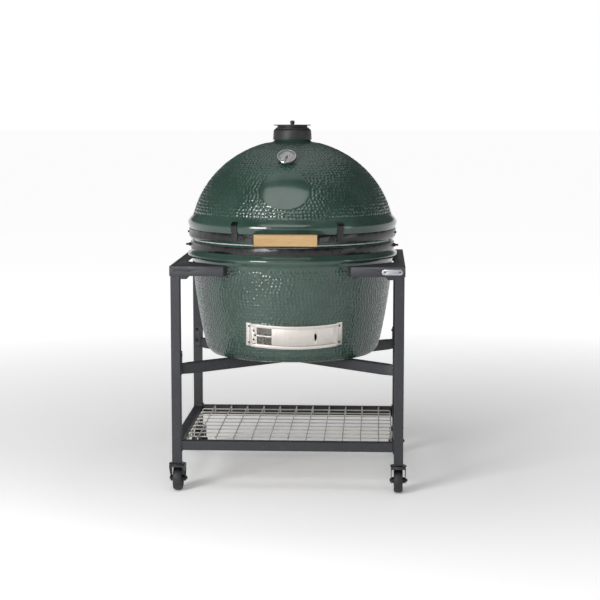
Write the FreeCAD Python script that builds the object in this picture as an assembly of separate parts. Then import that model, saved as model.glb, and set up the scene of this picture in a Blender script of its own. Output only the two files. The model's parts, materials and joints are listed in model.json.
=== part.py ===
"""Ceramic kamado grill in a wheeled steel frame.

All sizes in millimetres.  The origin is on the floor under the axis of the
ceramic body, +Z is up and -Y is the front, where the handle and the draft
door are.  Azimuths are measured from the front towards +X.
"""
import FreeCAD, Part
import math
import os

V = FreeCAD.Vector

# ---- frame ---------------------------------------------------------------
FRAME_W = 892.0          # over the side lips
FRAME_D = 760.0          # over the front and rear lips
PLATE_TOP = 875.0
PLATE_T = 3.0
LIP_H = 37.0
CUT_R = 410.0            # half width of the octagonal cut-out
CUT_STRAIGHT = 170.0     # half length of its straight sides
LIP_GAP = 241.0          # half width of the gap between the front lips
TUBE = 36.0              # square tube of the legs and rails
WALL = 2.5
LEG_FOOT = 112.0
BEAM_Z = (457.0, 497.0)
BEAM_W = 36.0
BRACKET_Z = (456.0, 546.0)
BRACKET_W = 30.0
BOLT_IN = 21.5           # bracket bolts from the leg's inner corner
RAIL_Z = (166.0, 202.0)

# ---- shelf ---------------------------------------------------------------
WIRE_R = 2.5
WIRE_DROP = 27.0
LONG_WIRES = 11
LONG_PITCH = 69.7
CROSS_WIRES = 9
CROSS_PITCH = 70.0

# ---- castors -------------------------------------------------------------
WHEEL_R = 48.0
WHEEL_HALF = 17.0
TRAIL = 27.0             # axle behind the swivel axis
AXLE_R = 4.0
KINGPIN_R = 6.0

# ---- ceramic body --------------------------------------------------------
BASE_BOTTOM = 500.0
BASE_TOP = 953.0
DOME_BOTTOM = 957.0
NECK_TOP = 1344.0
NECK_R = 71.0
BORE_R = 52.0
BASE_SEAT_R = 402.0      # under the lower band
DOME_SEAT_R = 408.5      # under the upper band
BAND_T = 3.0
LOWER_BAND_Z = (917.0, 945.0)
UPPER_BAND_Z = (967.0, 996.0)
DOME_A = 406.0           # half axes of the dome's outer ellipse
DOME_B = 385.0
DOME_CENTRE_Z = 960.0
CERAMIC_T = 21.0

# ---- dome hinge ----------------------------------------------------------
PIN_Y = 485.0
PIN_Z = 960.0
PIN_R = 6.0
EAR_R = 20.0

# ---- draft door ----------------------------------------------------------
DRAFT_TURN = 4.3         # azimuth of the middle of the door
DRAFT_TILT = 11.3        # the wall leans, so its face looks slightly down
DRAFT_MID_Z = 603.5
DRAFT_SEAT = 362.9       # its middle from the body's axis
DRAFT_R = 367.0          # seat radius about its own leaning axis
DRAFT_SPAN = 29.9        # half span, degrees
DRAFT_HALF_H = 46.0
DRAFT_EAR = 3.9          # bare end of the frame beyond the rails, degrees
DRAFT_SCREW_Z = 33.0
DRAFT_HOLE = (-26.0, 16.0)  # ends of the opening behind the panels, degrees

# ---- vent cap ------------------------------------------------------------
CAP_Z = 1387.0
CAP_PIVOT = (44.0, 44.0)

# ---- thermometer ---------------------------------------------------------
DIAL_RISE = 50.0         # the dial looks up at this angle


def box(x0, x1, y0, y1, z0, z1):
    """Upright box between two corners."""
    return Part.makeBox(x1 - x0, y1 - y0, z1 - z0, V(x0, y0, z0))


def cyl(radius, length, base, axis=(0, 0, 1)):
    """Cylinder from a base point along an axis."""
    return Part.makeCylinder(radius, length, V(*base), V(*axis))


def cone(r0, r1, length, base, axis=(0, 0, 1)):
    """Cone frustum from a base point along an axis."""
    return Part.makeCone(r0, r1, length, V(*base), V(*axis))


def prism(points, z0, z1):
    """Upright solid over a plan outline."""
    ring = [V(x, y, z0) for x, y in points]
    wire = Part.makePolygon(ring + ring[:1])
    return Part.Face(wire).extrude(V(0, 0, z1 - z0))


def side_prism(points, x0, x1):
    """Solid with a (y, z) outline, running along X."""
    ring = [V(x0, y, z) for y, z in points]
    wire = Part.makePolygon(ring + ring[:1])
    return Part.Face(wire).extrude(V(x1 - x0, 0, 0))


def spun(face, start, end):
    """Turn a face in the XZ plane about Z between two azimuths."""
    face.rotate(V(0, 0, 0), V(0, 0, 1), start - 90)
    return face.revolve(V(0, 0, 0), V(0, 0, 1), end - start)


def turned(points, start=0.0, end=360.0):
    """Solid of revolution about Z from (radius, z) corners."""
    ring = [V(r, 0, z) for r, z in points]
    face = Part.Face(Part.makePolygon(ring + ring[:1]))
    return spun(face, start, end)


def sector(r0, r1, z0, z1, start=0.0, end=360.0):
    """Ring, or part of a ring, with a rectangular section."""
    return turned([(r0, z0), (r1, z0), (r1, z1), (r0, z1)], start, end)


def curve(points):
    """Smooth edge in the XZ plane through (radius, z) points."""
    spline = Part.BSplineCurve()
    spline.interpolate([V(r, 0, z) for r, z in points])
    return spline.toShape()


def straight(points):
    """Straight edges in the XZ plane through (radius, z) points."""
    ends = [V(r, 0, z) for r, z in points]
    return [Part.makeLine(a, b) for a, b in zip(ends, ends[1:])]


def bowl(edges):
    """Full solid of revolution from a closed chain of edges."""
    return spun(Part.Face(Part.Wire(edges)), 137, 497)


def fused(shapes):
    """One solid from several that touch or overlap."""
    body = shapes[0].fuse(list(shapes[1:]))
    return body.removeSplitter()


def turned_by(shape, degrees):
    """Copy of a shape at another azimuth."""
    copy = shape.copy()
    copy.rotate(V(0, 0, 0), V(0, 0, 1), degrees)
    return copy


def mirrored_x(shape):
    """Copy on the other side of the YZ plane."""
    return shape.mirror(V(0, 0, 0), V(1, 0, 0))


def four(shape):
    """A shape and its three mirror images."""
    right = [shape, mirrored_x(shape)]
    return right + [s.mirror(V(0, 0, 0), V(0, 1, 0)) for s in right]


def screw(head_r, head_h, shank_r, length, at=(0, 0, 0), axis=(0, 0, 1)):
    """Round-head screw: the head stands out along the axis, the shank runs back."""
    ring = [V(r, 0, z) for r, z in (
        (0, head_h), (0.45 * head_r, 0.9 * head_h), (0.8 * head_r, 0.6 * head_h),
        (head_r, 0.15 * head_h), (head_r, 0), (shank_r, 0), (shank_r, -length),
        (0, -length), (0, head_h))]
    bolt = Part.Face(Part.makePolygon(ring)).revolve(V(0, 0, 0), V(0, 0, 1), 360)
    bolt.Placement = FreeCAD.Placement(V(*at), FreeCAD.Rotation(V(0, 0, 1), V(*axis)))
    return bolt


def hexagon(across, length, base, axis):
    """Hexagonal bar, for nuts and bolt heads."""
    corner = across / math.sqrt(3)
    ring = []
    for k in range(7):
        angle = math.radians(60 * k)
        ring.append(V(corner * math.cos(angle), corner * math.sin(angle), 0))
    bar = Part.Face(Part.makePolygon(ring)).extrude(V(0, 0, length))
    bar.Placement = FreeCAD.Placement(V(*base), FreeCAD.Rotation(V(0, 0, 1), V(*axis)))
    return bar


def save(node, shapes):
    """Write the solids of one node to its own STEP file."""
    solids = []
    for shape in shapes:
        solids.extend(shape.Solids)
    for solid in solids:
        if not solid.isValid():
            raise ValueError("bad solid in " + node)
    whole = solids[0] if len(solids) == 1 else Part.makeCompound(solids)
    whole.exportStep("parts/" + node + ".step")
    size = whole.BoundBox
    print("%-22s %3d solids  %7.1f %7.1f %7.1f" % (
        node, len(solids), size.XLength, size.YLength, size.ZLength))


# ==== frame ===============================================================
def legs():
    """Front and rear pairs of square tube legs."""
    x1 = FRAME_W / 2 - PLATE_T
    y1 = FRAME_D / 2 - PLATE_T
    top = PLATE_TOP - PLATE_T
    tube = box(x1 - TUBE, x1, -y1, -y1 + TUBE, LEG_FOOT, top)
    inside = box(x1 - TUBE + WALL, x1 - WALL, -y1 + WALL, -y1 + TUBE - WALL,
                 LEG_FOOT - 1, top + 1)
    leg = tube.cut(inside)
    for z in bolt_heights():
        leg = leg.cut(cyl(4.0, 20, (x1 - TUBE - 10, -y1 + TUBE - BOLT_IN, z), (1, 0, 0)))
        leg = leg.cut(cyl(4.0, 20, (x1 - TUBE + BOLT_IN, -y1 + TUBE + 10, z), (0, -1, 0)))
    front = [leg, mirrored_x(leg)]
    save("legs_front", front)
    save("legs_rear", [s.mirror(V(0, 0, 0), V(0, 1, 0)) for s in front])


def bolt_heights():
    """Heights of the two bolts in each face of a leg bracket."""
    return (BRACKET_Z[0] + 28, BRACKET_Z[1] - 14)


def top_plates():
    """Folded sheet tops either side of the body, each with a lip all round."""
    x1 = FRAME_W / 2
    y1 = FRAME_D / 2
    low = PLATE_TOP - LIP_H
    elbow = CUT_R + CUT_STRAIGHT - 229.0
    outline = [(x1, -y1), (x1, y1), (LIP_GAP, y1), (229.0, elbow),
               (CUT_R, CUT_STRAIGHT), (CUT_R, -CUT_STRAIGHT),
               (229.0, -elbow), (LIP_GAP, -y1)]
    sheet = prism(outline, PLATE_TOP - PLATE_T, PLATE_TOP)
    side = box(x1 - PLATE_T, x1, -y1, y1, low, PLATE_TOP)
    front = box(LIP_GAP, x1, -y1, -y1 + PLATE_T, low, PLATE_TOP)
    back_line = [(LIP_GAP, -y1), (LIP_GAP + PLATE_T, -y1),
                 (229.0 + PLATE_T, -elbow), (229.0, -elbow)]
    turn_in = prism(back_line, low, PLATE_TOP)
    rear = [s.mirror(V(0, 0, 0), V(0, 1, 0)) for s in (front, turn_in)]
    plate = fused([sheet, side, front, turn_in] + rear)
    for y in (-250.0, 250.0):
        plate = plate.cut(cyl(4.5, 10, (x1 - 6, y, low + 14), (1, 0, 0)))
    for dx in (-28.6, 28.6):
        plate = plate.cut(cyl(2.1, 10, (397 + dx, -y1 - 3, 856), (0, 1, 0)))
    left = mirrored_x(plate)
    save("top_plate_right", [plate])
    save("top_plate_left", [left])


def gussets():
    """Small chamfered plates under the lips, from each leg towards the middle."""
    x0 = FRAME_W / 2 - PLATE_T - TUBE
    y0 = -FRAME_D / 2 + PLATE_T
    low = PLATE_TOP - LIP_H
    top = PLATE_TOP - PLATE_T
    outline = [(x0, low - 12), (x0, top), (x0 - 44, top), (x0 - 44, low + 6),
               (x0 - 26, low - 12)]
    ring = [V(x, y0, z) for x, z in outline]
    plate = Part.Face(Part.makePolygon(ring + ring[:1])).extrude(V(0, 4, 0))
    save("lip_gussets", four(plate))


def beam_outline(reach):
    """Plan of a beam along X whose ends taper in to clear the bracket bolts."""
    half = BEAM_W / 2
    tip = 7.0
    taper = 44.0
    right = [(reach - taper, -half), (reach, -tip), (reach, tip), (reach - taper, half)]
    return right + [(-x, -y) for x, y in right]


def cross_beams():
    """Two diagonal box beams between the leg brackets, crossing under the body."""
    cx = FRAME_W / 2 - PLATE_T - TUBE - 3.0
    cy = FRAME_D / 2 - PLATE_T - TUBE - 3.0
    reach = math.hypot(cx, cy) + 6
    angle = math.degrees(math.atan2(cy, cx))
    half = BEAM_W / 2 - WALL
    z0, z1 = BEAM_Z
    outer = prism(beam_outline(reach), z0, z1)
    inner = box(-reach + 60, reach - 60, -half, half, z0 + WALL, z1 - WALL)
    corner = box(cx, cx + 200, cy, cy + 200, z0 - 5, z1 + 5)
    corners = Part.makeCompound(four(corner))
    beam = turned_by(outer.cut(inner), angle).cut(corners)
    solid = turned_by(outer, angle)
    other = turned_by(outer, -angle).cut(corners).cut(solid)
    hollow = turned_by(inner, -angle).cut(turned_by(box(-reach, reach, -30, 30, z0, z1), angle))
    save("cross_beam_long", [beam])
    save("cross_beam_halves", [other.cut(hollow)])


def support_pads():
    """Four felt-faced pads on the beams that carry the ceramic base."""
    cx = FRAME_W / 2 - PLATE_T - TUBE
    cy = FRAME_D / 2 - PLATE_T - TUBE
    angle = math.degrees(math.atan2(cy, cx))
    pad = box(235, 295, -16, 16, BEAM_Z[1], BASE_BOTTOM)
    pads = [turned_by(pad, a) for a in (angle, 180 - angle, 180 + angle, -angle)]
    save("support_pads", pads)


def leg_brackets():
    """Angle plates bolted to the two inner faces of each leg."""
    x0 = FRAME_W / 2 - PLATE_T - TUBE
    y0 = -FRAME_D / 2 + PLATE_T + TUBE
    z0, z1 = BRACKET_Z
    inward = box(x0 - 3, x0, y0 - BRACKET_W, y0 + 3, z0, z1)
    back = box(x0 - 3, x0 + BRACKET_W, y0, y0 + 3, z0, z1)
    angle = fused([inward, back])
    bolts = []
    for z in bolt_heights():
        on_x = (x0 - 3, y0 - BOLT_IN, z)
        on_y = (x0 + BOLT_IN, y0 + 3, z)
        angle = angle.cut(cyl(4.0, 8, (x0 - 5, y0 - BOLT_IN, z), (1, 0, 0)))
        angle = angle.cut(cyl(4.0, 8, (x0 + BOLT_IN, y0 + 5, z), (0, -1, 0)))
        bolts.append(screw(6.5, 4.0, 4.0, 8.0, on_x, (-1, 0, 0)))
        bolts.append(screw(6.5, 4.0, 4.0, 8.0, on_y, (0, 1, 0)))
    save("leg_brackets", four(angle))
    heads = []
    for bolt in bolts:
        heads.extend(four(bolt))
    save("bracket_bolts", heads)


def shelf_rails():
    """Four rails low between the legs, with a plate at each end."""
    x_in = FRAME_W / 2 - PLATE_T - TUBE
    y_in = FRAME_D / 2 - PLATE_T - TUBE
    z0, z1 = RAIL_Z
    end = 4.0
    tube = box(-x_in + end, x_in - end, -y_in - TUBE, -y_in, z0, z1)
    hollow = box(-x_in, x_in, -y_in - TUBE + WALL, -y_in - WALL, z0 + WALL, z1 - WALL)
    front = tube.cut(hollow)
    save("rails_front_rear", [front, front.mirror(V(0, 0, 0), V(0, 1, 0))])
    tube = box(x_in, x_in + TUBE, -y_in + end, y_in - end, z0, z1)
    hollow = box(x_in + WALL, x_in + TUBE - WALL, -y_in, y_in, z0 + WALL, z1 - WALL)
    side = tube.cut(hollow)
    save("rails_sides", [side, mirrored_x(side)])
    flat = box(x_in - end, x_in, -y_in - TUBE, -y_in, z0 - 6, z1 + 6)
    along = box(x_in, x_in + TUBE, -y_in, -y_in + end, z0 - 6, z1 + 6)
    save("rail_end_plates", four(flat) + four(along))
    foot = box(-x_in + end, x_in - end, -y_in, -y_in + 22, z0 + 4, z0 + 7)
    rise = box(-x_in + end, x_in - end, -y_in, -y_in + 3, z0 + 4, z0 + 24)
    ledge = fused([foot, rise])
    save("shelf_ledges", [ledge, ledge.mirror(V(0, 0, 0), V(0, 1, 0))])


def bent_wire(reach, height, drop):
    """Straight wire along X with both ends bent down."""
    bend = 8.0
    z1 = height
    z0 = height - drop
    run = reach - bend
    k = bend * (1 - math.sqrt(0.5))
    lines = [Part.makeLine(V(-reach, 0, z0), V(-reach, 0, z1 - bend)),
             Part.Arc(V(-reach, 0, z1 - bend), V(-reach + k, 0, z1 - k),
                      V(-run, 0, z1)).toShape(),
             Part.makeLine(V(-run, 0, z1), V(run, 0, z1)),
             Part.Arc(V(run, 0, z1), V(reach - k, 0, z1 - k),
                      V(reach, 0, z1 - bend)).toShape(),
             Part.makeLine(V(reach, 0, z1 - bend), V(reach, 0, z0))]
    path = Part.Wire(lines)
    ring = Part.Wire(Part.makeCircle(WIRE_R, V(-reach, 0, z0), V(0, 0, 1)))
    return path.makePipeShell([ring], True, False)


def wire_shelf():
    """Wires welded across each other, every end bent down onto the ledges."""
    low_z = RAIL_Z[1] - 2.0
    high_z = low_z + 2 * WIRE_R
    foot_z = RAIL_Z[0] + 7.0
    along = bent_wire(331.0, high_z, high_z - foot_z)
    along.rotate(V(0, 0, 0), V(0, 0, 1), 90)
    across = bent_wire(398.0, low_z, WIRE_DROP)
    wires = []
    for k in range(LONG_WIRES):
        wire = along.copy()
        wire.translate(V((k - (LONG_WIRES - 1) / 2) * LONG_PITCH, 0, 0))
        wires.append(wire)
    for k in range(CROSS_WIRES):
        wire = across.copy()
        wire.translate(V(0, (k - (CROSS_WIRES - 1) / 2) * CROSS_PITCH, 0))
        wires.append(wire)
    save("wire_shelf", wires)


def name_badge():
    """Blank plate with round ends on the right front lip, held by two rivets."""
    y = -FRAME_D / 2
    bar = box(397 - 29.5, 397 + 29.5, y - 1.5, y, 856 - 10.5, 856 + 10.5)
    ends = [cyl(10.5, 1.5, (397 + s * 29.5, y, 856), (0, -1, 0)) for s in (-1, 1)]
    plate = fused([bar] + ends)
    rivets = []
    for dx in (-28.6, 28.6):
        plate = plate.cut(cyl(2.1, 6, (397 + dx, y - 3, 856), (0, 1, 0)))
        rivets.append(screw(4.0, 1.6, 2.1, 4.4, (397 + dx, y - 1.5, 856), (0, -1, 0)))
    save("name_badge", [plate])
    save("badge_rivets", rivets)


# ==== castors =============================================================
def castor_socket():
    """Plug in the leg's foot with the swivel flange and kingpin below it."""
    half = TUBE / 2 - WALL - 0.05
    plug = box(-half, half, -half, half, LEG_FOOT, LEG_FOOT + 30)
    flange = cyl(31.5, LEG_FOOT - 107.7, (0, 0, 107.7))
    pin = cyl(KINGPIN_R, 12, (0, 0, 97.0))
    head = cyl(9.0, 3.0, (0, 0, 96.6))
    return fused([plug, flange, pin, head])


def castor_fork():
    """Crown and two cheeks; the wheel's axle sits behind the kingpin."""
    crown = box(-28.5, 28.5, -26, 30, 100, 107.4)
    cheek_line = [(-26, 107.4), (30, 107.4), (52, 104), (52, 92), (41, 52),
                  (38, 40), (30, 35), (24, 35), (16, 40), (8, 62), (-26, 97)]
    right = side_prism(cheek_line, 25.5, 28.5)
    fork = fused([crown, right, mirrored_x(right)])
    fork = fork.cut(cyl(KINGPIN_R + 0.06, 20, (0, 0, 95)))
    fork = fork.cut(cyl(AXLE_R, 80, (-40, TRAIL, WHEEL_R), (1, 0, 0)))
    return fork.cut(cyl(3.0, 80, (-40, 44, 98), (1, 0, 0)))


def castor_axle():
    """Axle bolt with a hexagon head and a nut."""
    shank = cyl(AXLE_R, 68, (-32, TRAIL, WHEEL_R), (1, 0, 0))
    head = hexagon(13, 4.5, (-33, TRAIL, WHEEL_R), (1, 0, 0))
    nut = hexagon(13, 5.0, (28.5, TRAIL, WHEEL_R), (1, 0, 0))
    return fused([shank, head, nut])


def castor_wheel():
    """Wheel with a rounded tread and a narrower hub either side."""
    half = WHEEL_HALF
    rim = WHEEL_R
    outline = [(AXLE_R + 0.05, -25.2), (11, -25.2), (13, -12), (30, -12), (33, -half + 2),
               (rim - 5, -half), (rim - 1.2, -half + 5), (rim, -4), (rim, 4),
               (rim - 1.2, half - 5), (rim - 5, half), (33, half - 2), (30, 12),
               (13, 12), (11, 25.2), (AXLE_R + 0.05, 25.2)]
    wheel = turned(outline)
    wheel.rotate(V(0, 0, 0), V(0, 1, 0), 90)
    wheel.translate(V(0, TRAIL, WHEEL_R))
    return wheel


def brake_pedal():
    """Foot lever on a cross pin behind the swivel, above the wheel."""
    barrel = cyl(4.2, 50, (-25, 44, 98), (1, 0, 0))
    lever = side_prism([(42, 100), (42, 96.5), (60, 95.5), (84, 90), (86, 93),
                        (84, 95), (62, 101), (46, 103)], -15, 15)
    pin = cyl(2.95, 60, (-30, 44, 98), (1, 0, 0))
    return fused([barrel, lever, pin])


def castors():
    """Four swivel castors; the front two have a brake."""
    x = FRAME_W / 2 - PLATE_T - TUBE / 2
    y = FRAME_D / 2 - PLATE_T - TUBE / 2
    sockets = []
    for name, cx, cy in (("front_left", -x, -y), ("front_right", x, -y),
                         ("rear_left", -x, y), ("rear_right", x, y)):
        placed = []
        pieces = [castor_socket(), castor_fork(), castor_axle(), castor_wheel()]
        if name.startswith("front"):
            pieces.append(brake_pedal())
        for shape in pieces:
            shape.translate(V(cx, cy, 0))
            placed.append(shape)
        sockets.append(placed[0])
        save("castor_fork_" + name, placed[1:3])
        save("castor_wheel_" + name, [placed[3]])
        if name.startswith("front"):
            save("brake_pedal_" + name, [placed[4]])
    save("castor_sockets", sockets)


# ==== ceramic base ========================================================
OUTER_WALL = [(330.0, 508.0), (341.0, 521.0), (349.5, 546.0), (356.8, 575.0), (363.6, 607.0),
              (369.8, 640.0), (375.4, 672.0), (381.9, 713.0), (387.4, 753.0),
              (391.2, 786.0), (395.4, 830.0), (398.5, 868.0)]
INNER_WALL = [(305.0, 527.0), (322.0, 546.0), (335.0, 580.0), (347.0, 640.0),
              (359.0, 700.0), (370.0, 770.0), (375.0, 830.0), (377.0, 870.0)]


def on_draft(shape):
    """Move a shape made about the draft door's own axis to its place."""
    lean = math.radians(DRAFT_TILT)
    shape.rotate(V(0, 0, 0), V(1, 0, 0), DRAFT_TILT)
    shape.translate(V(0, DRAFT_R * math.cos(lean) - DRAFT_SEAT,
                      DRAFT_MID_Z + DRAFT_R * math.sin(lean)))
    shape.rotate(V(0, 0, 0), V(0, 0, 1), DRAFT_TURN)
    return shape


def ceramic_base():
    """Lower bowl of the body, with the draft opening through its front wall."""
    rim = [(398.5, 868.0), (400.0, 878.0), (411.0, 881.5), (417.0, 887.0), (418.0, 895.0),
           (417.0, 902.0), (413.0, 906.5), (406.0, 909.0), (BASE_SEAT_R, 912.0),
           (BASE_SEAT_R, 951.0), (400.0, BASE_TOP), (377.0, BASE_TOP), (377.0, 870.0)]
    edges = [curve(OUTER_WALL)] + straight(rim) + [curve(INNER_WALL[::-1])]
    edges += straight([(305.0, 527.0), (0.0, 527.0), (0.0, BASE_BOTTOM), (312.0, BASE_BOTTOM),
                       (323.0, 502.0), (330.0, 508.0)])
    body = bowl(edges)
    seat = sector(DRAFT_R - 0.5, DRAFT_R + 40, -DRAFT_HALF_H, DRAFT_HALF_H,
                  -DRAFT_SPAN, DRAFT_SPAN)
    hole = sector(DRAFT_R - 60, DRAFT_R + 40, -38, 34, *DRAFT_HOLE)
    body = body.cut(on_draft(seat)).cut(on_draft(hole))
    for degrees in (DRAFT_EAR / 2 - DRAFT_SPAN, DRAFT_SPAN - DRAFT_EAR / 2):
        for z in (-DRAFT_SCREW_Z, DRAFT_SCREW_Z):
            shank = cyl(2.0, 40, (0, -DRAFT_R - 5, z), (0, 1, 0))
            shank.rotate(V(0, 0, 0), V(0, 0, 1), degrees)
            body = body.cut(on_draft(shank.common(sector(DRAFT_R - 15, DRAFT_R + 40,
                                                         -60, 60))))
    save("ceramic_base", [body])


def firebox_parts():
    """Loose ceramic liner, its ring, the charcoal grate and the cooking grid."""
    liner = turned([(285, 527.2), (352, 800), (322, 800), (300, 700), (262, 640),
                    (100, 640), (100, 618), (236, 618), (252, 527.2)])
    liner = liner.cut(box(-95, 95, -400, -150, 500, 606))
    save("firebox", [liner])
    ring = turned([(324, 800), (352, 800), (362, 812), (362, 925), (335, 925), (332, 812)])
    save("fire_ring", [ring])
    save("fire_grate", [slotted_disc(190.0, 640.0, 652.0, 20.0, 12.0, 30.0)])
    save("cooking_grid", barred_grid(352.0, 925.0, 933.0, 8.0, 6.0, 26.0))


def barred_grid(radius, z0, z1, rim, bar, pitch):
    """Round grid of separate straight bars welded inside a rim."""
    ring = sector(radius - rim, radius, z0, z1)
    room = cyl(radius - rim, z1 - z0, (0, 0, z0))
    pieces = [ring]
    count = int((radius - rim) // pitch)
    for k in range(-count, count + 1):
        rod = box(k * pitch - bar / 2, k * pitch + bar / 2, -radius, radius, z0, z1)
        pieces.append(rod.common(room))
    return pieces


def slotted_disc(radius, z0, z1, rim, bar, pitch):
    """Flat grid: a disc with straight slots, leaving a rim and parallel bars."""
    disc = cyl(radius, z1 - z0, (0, 0, z0))
    slots = []
    count = int((radius - rim) // pitch)
    for k in range(-count, count + 1):
        x = k * pitch
        far = abs(x) + (pitch - bar) / 2
        if far > radius - rim - 4:
            continue
        half = math.sqrt((radius - rim) ** 2 - far ** 2)
        w = (pitch - bar) / 2
        slots.append(box(x - w, x + w, -half, -bar / 2, z0 - 1, z1 + 1))
        slots.append(box(x - w, x + w, bar / 2, half, z0 - 1, z1 + 1))
    return disc.cut(slots)


def gaskets():
    """Felt rings on the two rims that meet when the dome is shut."""
    save("base_gasket", [sector(380.0, 399.0, BASE_TOP, 954.85)])
    save("dome_gasket", [sector(380.0, 399.0, 955.15, DOME_BOTTOM)])


def bands():
    """Steel bands round the two rims, with clamp bolts at the sides."""
    low0, low1 = LOWER_BAND_Z
    up0, up1 = UPPER_BAND_Z
    low_r = BASE_SEAT_R + BAND_T
    up_r = DOME_SEAT_R + BAND_T
    save("lower_band", [sector(BASE_SEAT_R, low_r, low0, low1)])
    save("upper_band", [sector(DOME_SEAT_R, up_r, up0, up1)])
    low = []
    high = []
    for degrees in (-84.0, -27.0, 27.0, 84.0):
        a = math.radians(degrees)
        way = (math.sin(a), -math.cos(a), 0)
        for step in (-2.2, 2.2):
            b = math.radians(degrees + step)
            out = (math.sin(b), -math.cos(b), 0)
            at = (low_r * out[0], low_r * out[1], (low0 + low1) / 2)
            low.append(screw(5.0, 2.6, 2.0, 3.0 - 0.02, at, out))
        if abs(degrees) > 60:
            at = [low_r * way[0], low_r * way[1], (low0 + low1) / 2]
            base = [at[0] - 0.5 * way[0], at[1] - 0.5 * way[1], at[2]]
            stud = fused([hexagon(13, 8.0, base, way), cyl(4.0, 20.0, base, way)])
            low.append(stud.cut(cyl(low_r, 60, (0, 0, low0 - 10))))
            at = (up_r * way[0], up_r * way[1], (up0 + up1) / 2)
            high.append(screw(5.0, 6.0, 2.0, 3.0 - 0.02, at, way))
    save("lower_band_bolts", low_clear(low, low_r, low0))
    save("upper_band_bolts", low_clear(high, up_r, up0))


def low_clear(bolts, radius, z0):
    """Trim bolts to the outside of a band."""
    core = cyl(radius, 80, (0, 0, z0 - 20))
    return [b.cut(core) for b in bolts]


# ==== draft door ==========================================================
def draft_rect(z0, z1, a0, a1, r0=DRAFT_R - 5, r1=DRAFT_R + 20):
    """Cutter through the draft plates."""
    return sector(r0, r1, z0, z1, a0, a1)


def draft_frame():
    """Curved stainless frame with two slotted rails the panels slide in."""
    r = DRAFT_R
    h = DRAFT_HALF_H
    span = DRAFT_SPAN
    plate = sector(r - 0.5, r + 1.5, -h, h, -span, span)
    reach = span - DRAFT_EAR
    top = sector(r + 1.5, r + 7.5, h - 8, h, -reach, reach)
    lip = sector(r + 6.3, r + 7.5, h - 12, h - 8, -reach, reach)
    rails = [top, lip, top.mirror(V(0, 0, 0), V(0, 0, 1)), lip.mirror(V(0, 0, 0), V(0, 0, 1))]
    frame = fused([plate] + rails)
    frame = frame.cut(draft_rect(-34, 34, *DRAFT_HOLE))
    screws = []
    for degrees in (DRAFT_EAR / 2 - span, span - DRAFT_EAR / 2):
        for z in (-DRAFT_SCREW_Z, DRAFT_SCREW_Z):
            hole = cyl(2.0, 30, (0, -r - 20, z), (0, 1, 0))
            hole.rotate(V(0, 0, 0), V(0, 0, 1), degrees)
            frame = frame.cut(hole)
            bolt = screw(4.5, 2.4, 2.0, 14.0, (0, -r - 1.54, z), (0, -1, 0))
            bolt.rotate(V(0, 0, 0), V(0, 0, 1), degrees)
            screws.append(on_draft(bolt))
    save("draft_frame", [on_draft(frame)])
    save("draft_screws", screws)


def draft_panels():
    """Outer solid door with a louvre, inner screen panel with mesh windows."""
    r = DRAFT_R
    door = sector(r + 4.4, r + 5.8, -37.5, 37.5, -13.5, 23.5)
    door = door.cut(lens_cutter(12.5, 17.5, 6.5))
    scoop = louvre(12.5)
    save("draft_door", [on_draft(fused([door, scoop]))])
    screen = sector(r + 1.9, r + 3.4, -37.5, 37.5, -26.9, 16.5)
    screen = screen.cut(lens_cutter(12.5, 15.5, 5.5))
    mesh = []
    for a0, a1 in ((-22.7, -13.3), (-11.1, -1.7), (0.1, 9.5)):
        for z0, z1 in ((2.8, 33.2), (-33.2, -2.8)):
            screen = screen.cut(draft_rect(z0, z1, a0, a1))
            mesh.append(on_draft(sector(r + 2.4, r + 2.9, z0, z1, a0, a1)))
    for a, z in ((-24.7, 18.0), (-23.8, 0.0), (-24.7, -18.0)):
        hole = cyl(4.2, 30, (0, -r - 20, 0), (0, 1, 0))
        hole.rotate(V(0, 0, 0), V(0, 0, 1), a)
        hole.translate(V(0, 0, z))
        screen = screen.cut(hole)
    save("draft_screen", [on_draft(screen)])
    save("draft_mesh", mesh)


def lens_cutter(degrees, half_h, half_w):
    """Pointed oval cutter through the door, at an angle along it."""
    reach = (half_h ** 2 + half_w ** 2) / (2 * half_w)
    left = cyl(reach, 40, (half_w - reach, -DRAFT_R - 20, 0), (0, 1, 0))
    right = cyl(reach, 40, (reach - half_w, -DRAFT_R - 20, 0), (0, 1, 0))
    lens = left.common(right)
    lens.rotate(V(0, 0, 0), V(0, 0, 1), degrees)
    return lens


def louvre(degrees):
    """Raised finger lip along one side of the pointed oval."""
    lip = box(-8.5, -6.0, -DRAFT_R - 9.8, -DRAFT_R - 4.6, -13, 13)
    lip.rotate(V(0, 0, 0), V(0, 0, 1), degrees)
    return lip


# ==== dome ================================================================
def dome_radius(z, inset=0.0):
    """Radius of the dome's elliptic wall at a height."""
    t = (z - DOME_CENTRE_Z) / (DOME_B - inset)
    return (DOME_A - inset) * math.sqrt(1 - t * t)


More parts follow.
